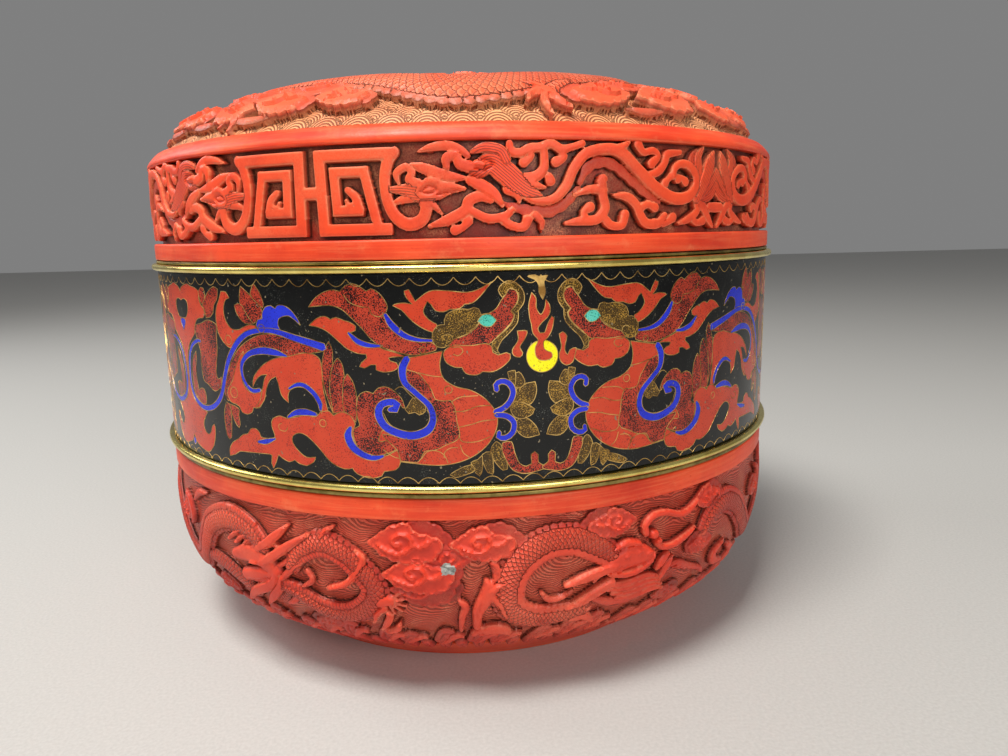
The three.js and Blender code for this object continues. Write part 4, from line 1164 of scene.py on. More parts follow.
def dome_forms(unit):
    """Carves both dragons, the clouds and the pearl into a grid seen from above, with
    paths in mm to the right and to the front of the middle."""

    def both(draw, path):
        """Draws a form and the same form turned half round."""
        rows = np.asarray(path, float)
        for way in (1, -1):
            moved = rows.copy()
            moved[:, :2] *= way
            draw(moved, way)

    def ribbon(path, lift=0.0, **how):
        both(lambda rows, _: unit.ribbon(rows, DOME_RELIEF + lift, **how), path)

    def line(path, depth=0.6, width=0.7):
        both(lambda rows, _: unit.line(rows, depth, width), path)

    def rim(radius, angle):
        """Place at a radius and an angle from the front."""
        return radius * np.sin(np.radians(angle)), radius * np.cos(np.radians(angle))

    def clouds(places):
        for radius, angle, size, flip, scale in places:
            x, y = rim(radius, angle)
            both(lambda rows, way: cloud(unit, rows[0, 0], rows[0, 1], size, DOME_RELIEF,
                                         np.radians(-angle) + (0 if way > 0 else np.pi), flip, scale, 0.1),
                 [(x, y)])

    clouds([(99.5, -23.5, 11.5, 1, 0.8), (100.5, -34.0, 12.0, 1, 0.85), (97.5, -44.0, 11.0, 1, 0.8),
            (99.0, 28.0, 10.0, -1, 0.8)])
    # The body, its fin along the outside, belly inside, and the tail.
    body = [(-78, 26, 1.6), (-76, 40, 4.4), (-66, 56, 8.4), (-48, 73, 12.4), (-27, 89, 15.6),
            (-3, 103.0, 18.6), (22, 94.0, 18.4), (41, 77, 17.6), (51, 59, 16.0), (46, 38, 15.0),
            (29, 27, 14.0), (9, 25.6, 13.0), (-8, 30.6, 12.4), (-18, 35.6, 12.0)]
    ribbon(body, -0.9, offset=0.97, notch=1.0, pitch=3.6, edge=0.5, widest=1.1)
    ribbon(body, -0.5, offset=-0.86, notch=0.2, pitch=2.4, edge=0.6, dome=0.5, widest=1.6, skin=SKIN_RIBS)
    ribbon(body, 0.0, offset=0.08, part=0.91, skin=SKIN_SCALES, edge=5.5, dome=0.5)
    # Head: skull, brow, horns, muzzle, open jaw, whiskers and mane.
    ribbon([(-16, 36, 11), (-25, 37, 13), (-34, 33, 12), (-41, 27, 8), (-45, 20, 6)], 0.02, dome=0.45,
           edge=3.0)
    ribbon([(-34, 26, 5), (-38, 20, 5.4), (-39, 13, 2.4)], -0.3, dome=0.5, edge=1.6)
    ribbon([(-26, 42, 3.4), (-20, 47, 4.0), (-10, 49, 3.4), (-1, 46, 1.4)], 0.0)
    ribbon([(-30, 42, 3.0), (-27, 50, 3.6), (-19, 55, 3.0), (-11, 56, 1.2)], -0.1)
    ribbon([(-45, 22, 2.4), (-52, 18, 2.4), (-56, 10, 2.2), (-53, 3, 2.0), (-57, -3, 1.2)], -0.2)
    ribbon([(-44, 27, 2.2), (-53, 28, 2.4), (-60, 22, 2.2), (-67, 22, 1.2)], -0.2)
    ribbon([(-31, 36, 3.4), (-31.4, 36, 3.4)], 0.08, dome=1.0, edge=1.7)
    ribbon([(-43, 19, 3.4), (-44, 18, 3.4)], 0.05, dome=1.0, edge=1.7)
    for k in range(5):
        ribbon([(-22 + 3.4 * k, 28 - 0.8 * k, 2.0), (-18 + 3.4 * k, 21 - 0.6 * k, 2.6),
                (-11 + 3.2 * k, 17 - 0.8 * k, 1.0)], -0.7)
    line([(-40, 24), (-34, 26), (-28, 31)])
    line([(-28, 39), (-33, 38), (-36, 35)])
    # Legs and claws.
    legs = [[(34, 86, 8), (30, 96, 6), (24, 106, 5)], [(50, 60, 9), (64, 58, 7), (72, 66, 5)],
            [(-30, 88, 8), (-34, 76, 6), (-28, 68, 5)], [(40, 34, 8), (44, 22, 6), (38, 14, 4.6)]]
    for leg in legs:
        ribbon(leg, -0.2, dome=0.6, edge=2.4, skin=SKIN_SCALES)
        end, run = np.array(leg[-1][:2], float), np.subtract(leg[-1][:2], leg[-2][:2])
        toward = np.arctan2(run[1], run[0])
        for swing in (-1.5, -0.6, 0.3, 1.2):
            tip = end + 8.0 * np.array([np.cos(toward + swing), np.sin(toward + swing)])
            knuckle = end + 4.6 * np.array([np.cos(toward + swing + 0.3), np.sin(toward + swing + 0.3)])
            ribbon([(*end, 3.0), (*knuckle, 2.4), (*tip, 0.9)], 0.0, edge=0.7)
    # Flames that leave the shoulders and the hips.
    for x, y, way in ((58, 76, 0.7), (66, 44, 0.1), (-6, 80, 2.6), (22, 74, -1.9), (-52, 62, -2.2),
                      (30, 46, 2.9), (-66, 80, 1.8)):
        c, s = np.cos(way), np.sin(way)
        for bend, long in ((0.0, 15.0), (0.5, 11.0), (-0.5, 11.0)):
            points = [(0, 0, 3.4), (0.4 * long, 1.6 * bend, 3.0), (0.75 * long, 5.0 * bend - 1.4, 2.2),
                      (long, 9.0 * bend, 0.8)]
            ribbon([(x + c * a - s * b, y + s * a + c * b, wide) for a, b, wide in points], -0.5)
    # Clouds round the rim and between the coils.
    clouds([(108.6, -17.5, 8.6, 1, 1.02), (109.0, -28.0, 9.6, 1, 1.04), (110.0, -38.5, 8.6, -1, 1.0),
            (108.0, 21.0, 10.4, -1, 1.04), (108.2, 34.6, 11.0, 1, 1.06), (110.0, 47.4, 8.8, 1, 1.0),
            (109.0, 58.6, 9.6, -1, 1.0), (105.5, 71.0, 11.0, 1, 1.0), (108.0, 84.5, 10.0, -1, 0.95),
            (108.0, -50.0, 10.0, 1, 1.0), (106.0, -63.0, 10.5, 1, 1.0), (108.0, -76.0, 9.0, -1, 0.95),
            (70.0, 3.0, 9.0, 1, 0.95), (66.0, -30.0, 9.0, -1, 0.95), (82.0, 80.0, 10.0, 1, 0.95),
            (54.0, 72.0, 8.0, -1, 0.9), (60.0, -62.0, 8.0, 1, 0.9)])
    for radius, angle, long in ((113.6, -33, 9), (113.2, -45, 8), (113.6, 28, 7), (113.4, 53, 8),
                                (113.2, 66, 8), (113.0, -57, 9), (113.0, -70, 8), (97, 52, 9)):
        x, y = rim(radius, angle)
        c, s = np.cos(np.radians(angle)), -np.sin(np.radians(angle))
        ribbon([(x - c * long, y - s * long, 0.8), (x, y + 0.8, 2.4), (x + c * long, y + s * long, 0.8)],
               -0.9)
    # The pearl and its flames in the middle.
    unit.ribbon([(-0.1, 0, 17.6), (0.1, 0, 17.6)], DOME_RELIEF + 0.05, edge=8.4, dome=0.9)
    for way in np.radians(np.arange(0, 360, 45)):
        c, s = np.cos(way), np.sin(way)
        unit.ribbon([(c * 9 - s * a, s * 9 + c * a, wide) for a, wide in ((-1, 3.2), (0, 3.4))] + [
            (c * 14 - s * 2, s * 14 + c * 2, 2.6), (c * 18 + s * 1, s * 18 - c * 1, 1.0)], DOME_RELIEF - 0.7)


def fans(x, y):
    """Line numbers of the overlapping fans: rings of centres, every other ring moved half
    a fan on; each place takes the outermost ring whose centre is within one fan."""
    radius, angle = np.hypot(x, y), np.arctan2(x, y)
    phase = np.zeros(x.shape)
    free = np.ones(x.shape, bool)
    ring_gap = 0.62 * FAN_RADIUS
    for ring in range(int(DOME_EDGE / ring_gap) + 1):
        centre = DOME_EDGE + 1.5 - ring_gap * ring
        if centre < FAN_RADIUS:
            break
        count = max(int(round(2 * np.pi * centre / (1.86 * FAN_RADIUS))), 3)
        turn = angle / (2 * np.pi) * count + 0.5 * (ring % 2)
        across = (turn - np.round(turn)) / count * 2 * np.pi * centre
        far = np.hypot(across, centre - radius)
        here = free & (far < FAN_RADIUS) & (radius < centre)
        phase = np.where(here, far / FAN_PITCH, phase)
        free &= ~here
    return phase


def dome_carving(x, y, cell):
    """A carved grid of the dome, with the fans of its ground."""
    unit = Carving(x, y, cell)
    dome_forms(unit)
    unit.phase = fans(x, y)
    unit.measure_ground()
    return unit


def dome_place(unit, held):
    """Positions of a carved dome grid: the height, taller towards the rim, is set off
    along the dome's normal. The corners in `held` are not moved sideways."""
    x, y, height = unit.surface()
    x, y = np.where(held, unit.u, x), np.where(held, unit.w, y)
    radius = np.hypot(x, y)
    taller = 1 + 0.62 * np.clip((radius - 66) / 30, 0, 1) - 0.35 * np.clip((radius - 112) / 5, 0, 1)
    z, out, up = dome_height(np.minimum(radius, DOME_EDGE))
    spread = 1 + out * height * taller / np.maximum(radius, 1.0)
    return np.stack([x * spread, -y * spread, z + up * height * taller], -1) * MM


def dome_piece(name, unit, corners, made_faces, extra):
    """The mesh object of a part of the dome; `extra` bare corners close its back."""
    levels = np.concatenate([unit.surface()[2].ravel(), np.zeros(extra)])
    triangles = [group if group.shape[1] == 3 else triangles_of(group, levels) for group in made_faces]
    made = mesh_piece(name, corners, np.concatenate(triangles), cinnabar_dome)
    layers = layers_of(unit, DOME_RELIEF, np.ravel)
    set_layers(made, {key: np.concatenate([value, np.zeros(extra)]) for key, value in layers.items()})
    made.data.set_sharp_from_angle(angle=0.75)
    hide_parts("lid")
    return made


cinnabar_dome = lacquer_finish("cinnabar_dome", srgb(240, 92, 54), srgb(206, 78, 50), srgb(132, 58, 38),
                               srgb(244, 168, 112), srgb(248, 184, 138), 0.8, ground_depth=0.5,
                               scale_size=3.3, crevice_shade=0.35)

angle, radius = np.meshgrid(np.linspace(-np.pi, np.pi, DOME_COLUMNS, endpoint=False),
                            np.linspace(DOME_SPLIT, DOME_EDGE, DOME_ROWS + 1))
unit = dome_carving(radius * np.sin(angle), radius * np.cos(angle), BORDER_CELL)
rim_rows = np.zeros(angle.shape, bool)
rim_rows[[0, -1]] = True
front = dome_place(unit, rim_rows)
rings = np.array([DOME_EDGE, 100.0, 87.0, DOME_SPLIT])  # of the piece's plain back
z, out, up = dome_height(rings)
back = np.stack([np.outer(rings + out * SKIN_BACK, np.sin(angle[0])),
                 -np.outer(rings + out * SKIN_BACK, np.cos(angle[0])),
                 np.outer(z + up * SKIN_BACK, np.ones(DOME_COLUMNS))], -1) * MM
corners = np.concatenate([front, back])
made_faces = wrapped_faces(len(corners) + 1, DOME_COLUMNS)[:, ::-1] % (corners.size // 3)
dome_piece("lid_dome_border", unit, corners.reshape(-1, 3), [made_faces], back[..., 0].size)

# The middle of the dome is a square grid drawn out to a disc, so that no cells crowd
# together: rings of the square become rings of the disc.
side = DOME_COLUMNS // 4
a, b = np.meshgrid(np.linspace(-1, 1, side + 1), np.linspace(-1, 1, side + 1))
reach = np.maximum(np.abs(a), np.abs(b))
lesser = np.where(np.abs(a) > np.abs(b), b, a) / np.maximum(reach, 1e-9) * np.pi / 4
across = np.where(np.abs(a) > np.abs(b), np.sign(a) * np.cos(lesser), np.sin(lesser))
forward = np.where(np.abs(a) > np.abs(b), np.sin(lesser), np.sign(b) * np.cos(lesser))
unit = dome_carving(DOME_SPLIT * reach * across, DOME_SPLIT * reach * forward, MIDDLE_CELL)
held = reach > 1 - 1e-6
front = dome_place(unit, held).reshape(-1, 3)
count = side + 1
grid = np.arange(count * count).reshape(count, count)
cells = np.stack([grid[:-1, :-1], grid[1:, :-1], grid[1:, 1:], grid[:-1, 1:]], -1).reshape(-1, 4)
border = np.concatenate([grid[0, :-1], grid[:-1, -1], grid[-1, :0:-1], grid[:0:-1, 0]])
below = front[border] + [0, 0, 2 * SKIN_BACK * MM]
ring_start = count * count
ring = ring_start + np.arange(len(border))
hub = ring_start + len(border)
wall = np.stack([border, np.roll(border, -1), np.roll(ring, -1), ring], -1)
fan = np.stack([ring, np.roll(ring, -1), np.full(len(ring), hub)], -1)
corners = np.concatenate([front, below, [[0, 0, (DOME_GROUND[0][1] - 3.0) * MM]]])
dome_piece("lid_dome_middle", unit, corners, [np.concatenate([cells, wall]), fan], len(border) + 1)

# ------------------------------------------------------------------ brass rings
# Spun brass: a half-round bead at each edge of the wall, and a dull flat strip that
# binds the mouth of the lid and of the bowl. They are tarnished and rubbed bright.

BEAD_RADIUS = 125.0
ROUNDED = 0.25  # edges of the flat strips
RINGS = {"band_upper_bead": (137.0, 2.2), "band_lower_bead": (73.3, 2.2), "lid_brass_rim": (139.5, 0.8),
         "base_brass_rim": (71.5, 1.2)}


def brass(name, bright, dull, rough):
    """Brass with clouds of tarnish, fine turning marks round the axis and worn spots."""
    made, tree, shader = new_material(name, bright, rough, 1.0)
    cloudy = noise(tree, 70.0, 5.0, 0.6)
    fine = noise(tree, 500.0, 3.0)
    colour = ramp(tree, plus(tree, cloudy, times(tree, minus(tree, fine, 0.5), 0.3)),
                  [(0.38, dull), (0.6, bright)])
    tree.links.new(colour, shader.inputs["Base Color"])
    tree.links.new(plus(tree, rough - 0.08, times(tree, cloudy, 0.2)), shader.inputs["Roughness"])
    turning = node(tree, "ShaderNodeMapping", {"Vector": place(tree), "Scale": (1.0, 1.0, 60.0)}).outputs[0]
    bump(tree, shader, noise(tree, 60.0, 2.0, 0.5, turning), 0.0001, 0.2)
    return made


bright_brass = brass("bright_brass", srgb(250, 232, 136), srgb(222, 196, 104), 0.22)
dull_brass = brass("dull_brass", srgb(170, 152, 92), srgb(116, 102, 56), 0.42)
for ring_name, (bottom, tall) in RINGS.items():
    if "bead" in ring_name:
        half = tall / 2
        profile = [(BEAD_RADIUS - half - 0.4, bottom),
                   *arc((BEAD_RADIUS - half, bottom + half), half, -90, 90, 13)]
        finish, slot = bright_brass, "bright_brass"
    else:
        profile = [*arc((RIM_RADIUS - ROUNDED, bottom + ROUNDED), ROUNDED, -90, 0, 4),
                   *arc((RIM_RADIUS - ROUNDED, bottom + tall - ROUNDED), ROUNDED, 0, 90, 4)]
        finish, slot = dull_brass, "dull_brass"
    profile = [(SOCKET_RADIUS, bottom), *profile, (SOCKET_RADIUS, bottom + tall)]
    turned(ring_name + "_ring", profile, finish, ring_name)

# ------------------------------------------------------------------ cloisonné wall
# A brass cylinder with cells of flat wire soldered on, filled with enamel and ground
# flush: paired dragons with a pearl between them on black. Places are in degrees from
# the front and mm down from the top of the picture; a third number marks a sharp corner.

BAND_LINE = 137.25  # heights on the picture are counted down from here
BAND_BOTTOM, BAND_TOP = 75.8, 136.7
ENAMEL_DEPTH = 0.35
WIRE_WIDTH, WIRE_PROUD = 0.27, 0.04
PEARL_ANGLE = 9.6  # the dragons are mirrored here
TAIL_ANGLE = -50.4  # and here
BAND_DEGREE = np.pi / 180 * WALL_RADIUS

# One dragon and its leaves, from the back of the picture to its front.
DRAGON_CELLS = [
    ("speckled", [(-39.9, 16), (-40, 18.3), (-40.2, 24), (-41, 31.4), (-40.6, 33.4), (-39.7, 32.6, 1),
                  (-40, 35.5), (-40.7, 36.8), (-41.8, 37.7), (-42.9, 36.8), (-43.6, 35.8), (-44.4, 35.4),
                  (-45, 34), (-45.2, 29), (-45.1, 25), (-46.2, 19), (-46, 17), (-44, 16), (-42, 14.8)]),
    ("speckled", [(-46.6, 25.5, 1), (-47.8, 28), (-48.5, 32), (-48.6, 36), (-48.4, 39.5), (-47.5, 41.5),
                  (-46, 43), (-44.8, 42.5), (-44.6, 40), (-45, 38), (-46, 37.7), (-46.8, 38.6, 1),
                  (-47.1, 36), (-47.2, 32), (-46.6, 28)]),
    ("red", [(-52.5, 9), (-50.5, 6.3), (-49.8, 4.9), (-48.3, 3.9), (-47.4, 3.7), (-46.5, 4.3), (-45, 4.9),
             (-43.9, 5.9), (-44.1, 8), (-43.6, 10.2), (-42.9, 11.4), (-42.7, 13.1), (-43.2, 14.2),
             (-45, 14.8), (-46.1, 17), (-46.5, 19.8), (-48.2, 22.5), (-49.3, 25.2), (-50, 28.8), (-50.2, 34),
             (-49.9, 38.6), (-49, 42.2), (-47, 44.1), (-44.7, 45.5, 1), (-45.3, 46.8), (-46.1, 48.7),
             (-46.3, 50.7), (-45.8, 52.5), (-45.1, 53), (-44.2, 52), (-43.6, 49.7), (-43, 49), (-42.8, 51),
             (-43.2, 54.3), (-43.9, 56.9), (-45.2, 59), (-46.5, 59.2), (-48, 58.5), (-49.6, 57.2),
             (-50.5, 54.9), (-53, 54, 1), (-53, 20, 1)]),
    ("black", [(-52, 13.5), (-51.2, 11), (-50.3, 9.2), (-49.3, 8.7), (-48.3, 9.3), (-48, 11), (-48.3, 13.1),
               (-48.8, 14.4), (-49.6, 15), (-53, 15)]),
    ("blue", [(-53, 15.6), (-49.5, 15.5), (-49.8, 17.7), (-50.3, 19.1), (-53, 21)]),
    ("blue", [(-53, 55.5), (-50.2, 56), (-50, 58), (-51, 59), (-53, 59.5)]),
    ("speckled", [(-44.1, 6, 1), (-43.8, 8.5), (-43.5, 9.8, 1), (-42.7, 9.2), (-42.2, 7), (-42.5, 4.8),
                  (-43.2, 4.6)]),
    ("speckled", [(-38.7, 5, 1), (-39.7, 4.2), (-41, 5.5), (-42.3, 8), (-43.1, 10.2), (-42.6, 12),
                  (-42.4, 14.2, 1), (-41.3, 13.8), (-40.4, 12.4), (-40, 10), (-39.1, 8)]),
    ("speckled", [(-20.1, 22.4, 1), (-22, 21), (-25, 19.3), (-27, 18.2), (-29, 17.8), (-31, 18.5),
                  (-33, 20.2), (-35, 22.8), (-36.5, 26), (-37.8, 30), (-38.6, 33), (-39.2, 37), (-38.6, 40),
                  (-37, 38), (-35.5, 32), (-34.7, 27.5), (-33, 24.2), (-30.5, 22.7), (-28, 23), (-26, 24.3)]),
    ("red", [(-34.1, 23.6, 1), (-35.3, 26), (-36.4, 30), (-37, 33), (-37.9, 35), (-38.6, 37.5), (-38, 40.2),
             (-37, 40.6), (-36, 41.3, 1), (-35.5, 43), (-34.5, 43.4), (-33.4, 42.6), (-33, 41, 1),
             (-31.8, 40.8), (-31, 38.5), (-30.6, 34.5, 1), (-31.3, 35.6), (-32.6, 36.4), (-34, 35.6),
             (-34.9, 33), (-35, 29.5), (-34.4, 26)]),
    ("speckled", [(-33.6, 3.8, 1), (-31.9, 6.3), (-30, 9.8), (-30, 13), (-31.7, 15, 1), (-33, 13.5),
                  (-33.9, 10), (-34, 7)]),
    ("speckled", [(-31, 3, 1), (-30, 5.5), (-29.4, 9), (-29.6, 10.2, 1), (-31.6, 7), (-31.6, 5)]),
    ("speckled", [(-35.2, 9.6, 1), (-34.5, 9.1), (-33.6, 9.6), (-32.7, 12.6), (-31.6, 15, 1), (-33.4, 14.9),
                  (-34.8, 12.3)]),
    ("red", [(-36.2, 7.5, 1), (-37, 8), (-37.6, 10), (-37.7, 13), (-37, 15.8), (-36, 17), (-34.7, 17),
             (-33.5, 16), (-32.3, 15.3), (-31.2, 15.6, 1), (-31.3, 16.5), (-33, 17.7), (-34.8, 19.7),
             (-36, 22), (-37.1, 22.9), (-38.5, 21.2), (-39.5, 18.5), (-39.8, 14.5), (-39.5, 11), (-38.6, 8),
             (-38, 5.6, 1), (-36.9, 5.7)]),
    ("speckled", [(-39.1, 40.5, 1), (-39.8, 44), (-39.9, 48), (-39.6, 51.7), (-39.1, 52.8, 1), (-38.6, 52),
                  (-38.3, 49), (-38.1, 44), (-38.3, 41, 1)]),
    ("speckled", [(-38.3, 41, 1), (-37.8, 44.8), (-37, 47.6), (-36.5, 48.3, 1), (-36.2, 47), (-36.3, 44),
                  (-36.1, 42.5), (-36.8, 41.5)]),
    ("speckled", [(-19.2, 19.4, 1), (-18.7, 22), (-18.8, 26), (-19.2, 41, 1), (-20.2, 34), (-20.5, 28),
                  (-20, 22.5)]),
    ("speckled", [(-18, 24.2, 1), (-17.4, 26), (-17.2, 30), (-17.6, 35), (-17.6, 40), (-19.2, 40.5, 1),
                  (-19.5, 34), (-19.2, 29), (-18.6, 25.5)]),
    ("speckled", [(-16.7, 28.8, 1), (-16, 31), (-15.6, 35), (-15.7, 40), (-15.9, 43, 1), (-17.5, 39.8),
                  (-17.6, 35), (-17.3, 30.5)]),
    ("red", [(-26, 24.4, 1), (-23, 23), (-21, 24), (-20.5, 27), (-20.5, 33), (-20, 40, 1), (-21, 41, 1),
             (-21.3, 38.4), (-22.2, 35.3), (-23.6, 33.4), (-25.2, 33.6), (-26.2, 35.4), (-26.3, 38.3, 1),
             (-27.4, 36.3), (-27.9, 32.5), (-28.2, 30.6, 1), (-29.4, 32), (-30.2, 35), (-30.6, 37.8),
             (-31.8, 40.6), (-32.6, 41, 1), (-31.6, 38.6), (-31, 35.4), (-30.4, 31.8), (-29.8, 30.2, 1),
             (-31, 30.6), (-32, 32.2), (-32.8, 34.6, 1), (-32.5, 31.6), (-31.2, 28.6), (-29.5, 26.2),
             (-27.6, 24.8)]),
    ("red", [(-19.9, 40), (-19.2, 41.3, 1), (-18, 40.1), (-16.8, 40.8), (-16, 43.5), (-16.4, 45.5),
             (-16.3, 49), (-14.8, 52.3), (-12.2, 53), (-10.2, 51, 1), (-9.9, 54.8), (-10.6, 57),
             (-12.2, 57.6, 1), (-12.6, 59), (-14.3, 59.8), (-16.2, 58.6), (-16.8, 57, 1), (-18, 57.4),
             (-20, 55.6), (-22, 51), (-23.7, 48), (-25, 47.4), (-26, 48.5), (-26.1, 50.5), (-25.2, 53),
             (-23.9, 54.7), (-22.4, 54.4, 1), (-22.8, 56), (-24, 57.4, 1), (-25.2, 57), (-26, 56, 1),
             (-27, 56.8), (-28.3, 55.8, 1), (-28.8, 55), (-29.4, 57.5), (-30, 59.6, 1), (-30.3, 58),
             (-30.1, 55.5), (-30.5, 55.2), (-35.5, 55.8), (-37, 56.2), (-38, 57.4), (-39.4, 58.3, 1),
             (-39.3, 56), (-38.4, 53.6), (-37, 52), (-35.7, 50.2), (-34.7, 49.7), (-34, 48), (-33, 47.6),
             (-32.2, 48.7), (-32, 50), (-31, 50.2), (-29.3, 49.6), (-29.7, 46), (-29.4, 43.8), (-28, 42.6),
             (-26.8, 43.2), (-25, 42.4), (-23.5, 41.7), (-22, 42), (-21.2, 40.5, 1)]),
    ("black", [(-12, 38), (-9.6, 32.4), (-8.2, 34.5), (-6.8, 37.5), (-5.7, 40), (-5.8, 43), (-6.8, 45),
               (-9, 45.3), (-11, 43.6), (-11.8, 40.5)]),
    ("speckled", [(-8.9, 38.6, 1), (-9.4, 35.5), (-11, 32.6), (-12.4, 32.7), (-13.2, 34.4, 1), (-14.2, 33.8),
                  (-15.4, 35.5), (-15.7, 40.5), (-15.4, 44), (-16.3, 45), (-16.3, 48), (-15.6, 51),
                  (-14, 52.8), (-12.3, 52.6), (-10.2, 50.5), (-11.2, 48), (-10.5, 46.8), (-12.3, 44.5),
                  (-13, 41), (-12.8, 38), (-11.5, 36), (-9.9, 36.6), (-9.2, 38.5)]),
    ("red", [(-3.6, 22.2, 1), (-4.0, 26), (-3.6, 30), (-2, 32.5), (0, 33.7), (2, 36.6), (3.3, 41),
             (3.2, 45.5), (1.8, 50.3), (-0.8, 54), (-4.5, 55.6), (-9.8, 54.6, 1), (-10.3, 51),
             (-11.6, 48.2, 1), (-12.8, 48.5), (-12, 45), (-10.5, 46.8), (-8, 47.4), (-5.8, 46), (-4.8, 43),
             (-4.8, 40), (-5.8, 36.5), (-7.4, 33.6), (-8.9, 30.5), (-9.1, 27), (-8.2, 24, 1), (-6, 23.2)]),
    ("speckled", [(-8.4, 27.4, 1), (-6.9, 28.5), (-6.3, 30), (-5.2, 33.5), (-4.8, 36), (-3.5, 36.6),
                  (-2.8, 36.4), (-2.2, 39), (-2, 43), (-1.7, 46.5), (-2.2, 48.3), (-3.5, 49.5), (-5, 51),
                  (-6.5, 51.4), (-7, 53.5), (-7.5, 54.7), (-9.8, 54.4, 1), (-10.3, 51), (-11.6, 48.2),
                  (-12.2, 46.4), (-10.5, 46.8), (-8, 47.4), (-5.8, 46), (-4.8, 43), (-4.8, 40), (-5.8, 36.5),
                  (-7.4, 33.6), (-8.7, 30.5)]),
    ("brown", [(-8.4, 37.6), (-7.8, 35.6), (-6.9, 36.0), (-6.2, 37.6), (-6.2, 39.6), (-7.0, 40.6),
               (-7.6, 39.8), (-8.4, 40.2), (-8.9, 39.0)]),
    ("speckled", [(-21.9, 9.6, 1), (-20.8, 7), (-19.3, 5.2), (-18, 4.7), (-17.1, 5.2, 1), (-16.3, 3.6),
                  (-15.2, 3), (-14.2, 3.9), (-13.4, 5.1, 1), (-12.7, 4.4), (-11.7, 5.6), (-11, 7.5),
                  (-10.6, 9.5), (-10.8, 11), (-11.3, 12), (-10.4, 14.5), (-9.3, 17), (-7.5, 19), (-5, 19.7),
                  (-4.3, 21.2, 1), (-4.5, 22), (-7, 23.2), (-9, 22.7), (-11.5, 21), (-13, 18.8),
                  (-14.3, 15.6), (-15.8, 12.4), (-17, 10.2), (-18.4, 9.2), (-20, 9.2)]),
    ("red", [(-22, 14.9, 1), (-20.8, 12.9), (-19.5, 12.2), (-18.7, 13.1, 1), (-17.9, 12.5), (-16.8, 13.3, 1),
             (-15.9, 13.9), (-15.1, 15), (-15.2, 16.2), (-16.1, 16.9, 1), (-16, 18), (-14.9, 19.8),
             (-13.6, 20.7), (-12.2, 20.9), (-11.3, 21.6), (-9.7, 22.6), (-8.6, 23.6, 1), (-9.8, 23.7),
             (-10.8, 24), (-10.6, 24.9), (-9.8, 25.4), (-9.5, 26.5), (-10.2, 27.7), (-11.6, 28.1),
             (-12.6, 27.5, 1), (-12.6, 26), (-13.3, 26, 1), (-14.2, 27), (-14.9, 26.6), (-14.6, 25.4),
             (-13.8, 24), (-13.9, 23, 1), (-15, 22.8), (-16.5, 21.5), (-17.8, 19.2), (-19.2, 16.7),
             (-20.6, 15.4)]),
    ("red", [(3.1, 3.2, 1), (1.4, 5.1), (-0.2, 5.9), (-3, 5.3), (-5, 5.4), (-6.9, 8.1, 1), (-7.3, 6.3),
             (-7.7, 4.8), (-8.3, 5.2), (-8.0, 7.2), (-7.3, 8.9, 1), (-8.6, 8.5), (-9.9, 9.2), (-8.8, 10.4),
             (-7.4, 13.6), (-5.8, 16.0), (-4.3, 17.2, 1), (-4.2, 14.6, 1), (-5.2, 13.3), (-5.9, 11),
             (-5.3, 8.2, 1), (-4.8, 9.2), (-4.3, 10.8), (-3.3, 11.2), (-2.4, 10.5, 1), (-1.2, 10.4),
             (-0.5, 9.2, 1), (0.5, 8.9), (1.6, 7)]),
    ("speckled", [(4.9, 6.8), (5.4, 5.2), (6.1, 5.6), (6.5, 7.3), (6.3, 9.3), (5.5, 11.5, 1), (5.9, 12.6),
                  (5.6, 14.5), (4.6, 16.8), (3.6, 18.6), (3.1, 19.8), (2.2, 20.8), (0.8, 21.2), (-1, 21.2),
                  (-2.4, 21.0), (-3.2, 20.6, 1), (-2.1, 19), (-0.4, 17.8), (1, 15.6), (1.5, 13.5),
                  (1.4, 12.3), (2.6, 11.9), (3.6, 10.6), (4.3, 8.3)]),
    ("brown", [(1.6, 12.2), (1.3, 10.6), (0.7, 10.2), (0, 10.7, 1), (-0.7, 10.5), (-2, 10.9), (-2.9, 12),
               (-3.2, 13.5), (-3.2, 14.8, 1), (-4.1, 15), (-4.8, 17), (-4.8, 19.5), (-4.2, 21), (-3.3, 21.2),
               (-2.6, 20.4), (-2.1, 19), (-0.6, 17.8), (0.6, 16), (1.4, 14.2)]),
    ("red", [(-3.5, 23), (-3.0, 21.5), (-2, 20.6), (-0.9, 20.8), (0.5, 20.8), (2.2, 20.4), (2.9, 21.5),
             (3.0, 23), (3.7, 23.8), (4.8, 23.2), (5.3, 23.7), (5.3, 25), (4.4, 27), (3, 28.5),
             (1.6, 28.4, 1), (0.8, 29.3), (-0.6, 28.8), (-1.1, 27, 1), (-2, 26.9), (-3.1, 25.6)]),
    ("brown", [(4.4, 7.6, 1), (3.9, 5.5), (4.5, 3.8), (5.3, 3.0), (6.3, 3.7), (7.1, 5.6), (7.35, 7.5),
               (7.2, 9.5), (6.5, 11.5, 1), (6.5, 13), (6.3, 15), (5.3, 17.5), (4.2, 19.8), (3.6, 22.5),
               (3.9, 23.4, 1), (3.0, 22.4), (3.0, 20), (3.8, 18.5), (4.8, 16.7), (5.7, 14.5), (6.0, 12.5),
               (5.6, 11.4, 1), (6.3, 9.5), (6.6, 7.5), (6.3, 5.8), (5.6, 5.0), (5.1, 5.6), (4.9, 6.8)]),
    ("turquoise", [(1.1, 14.1, 1), (1.7, 12.4), (2.8, 12.2), (3.6, 13.9, 1), (2.9, 15.6), (1.9, 15.5)]),
    ("blue", [(-23.4, 14.9, 1), (-23.8, 13), (-24.8, 10.5), (-26, 9.2), (-27, 9.3), (-27.4, 10.2, 1),
              (-28.1, 9.4), (-29.2, 9.9), (-29.8, 11.8), (-29.9, 13.4, 1), (-30.8, 13.8), (-31.1, 15.2),
              (-30.9, 16.9), (-29.5, 17.6), (-27, 17.9), (-26.6, 17.5), (-27.1, 15.2), (-26.9, 13.2),
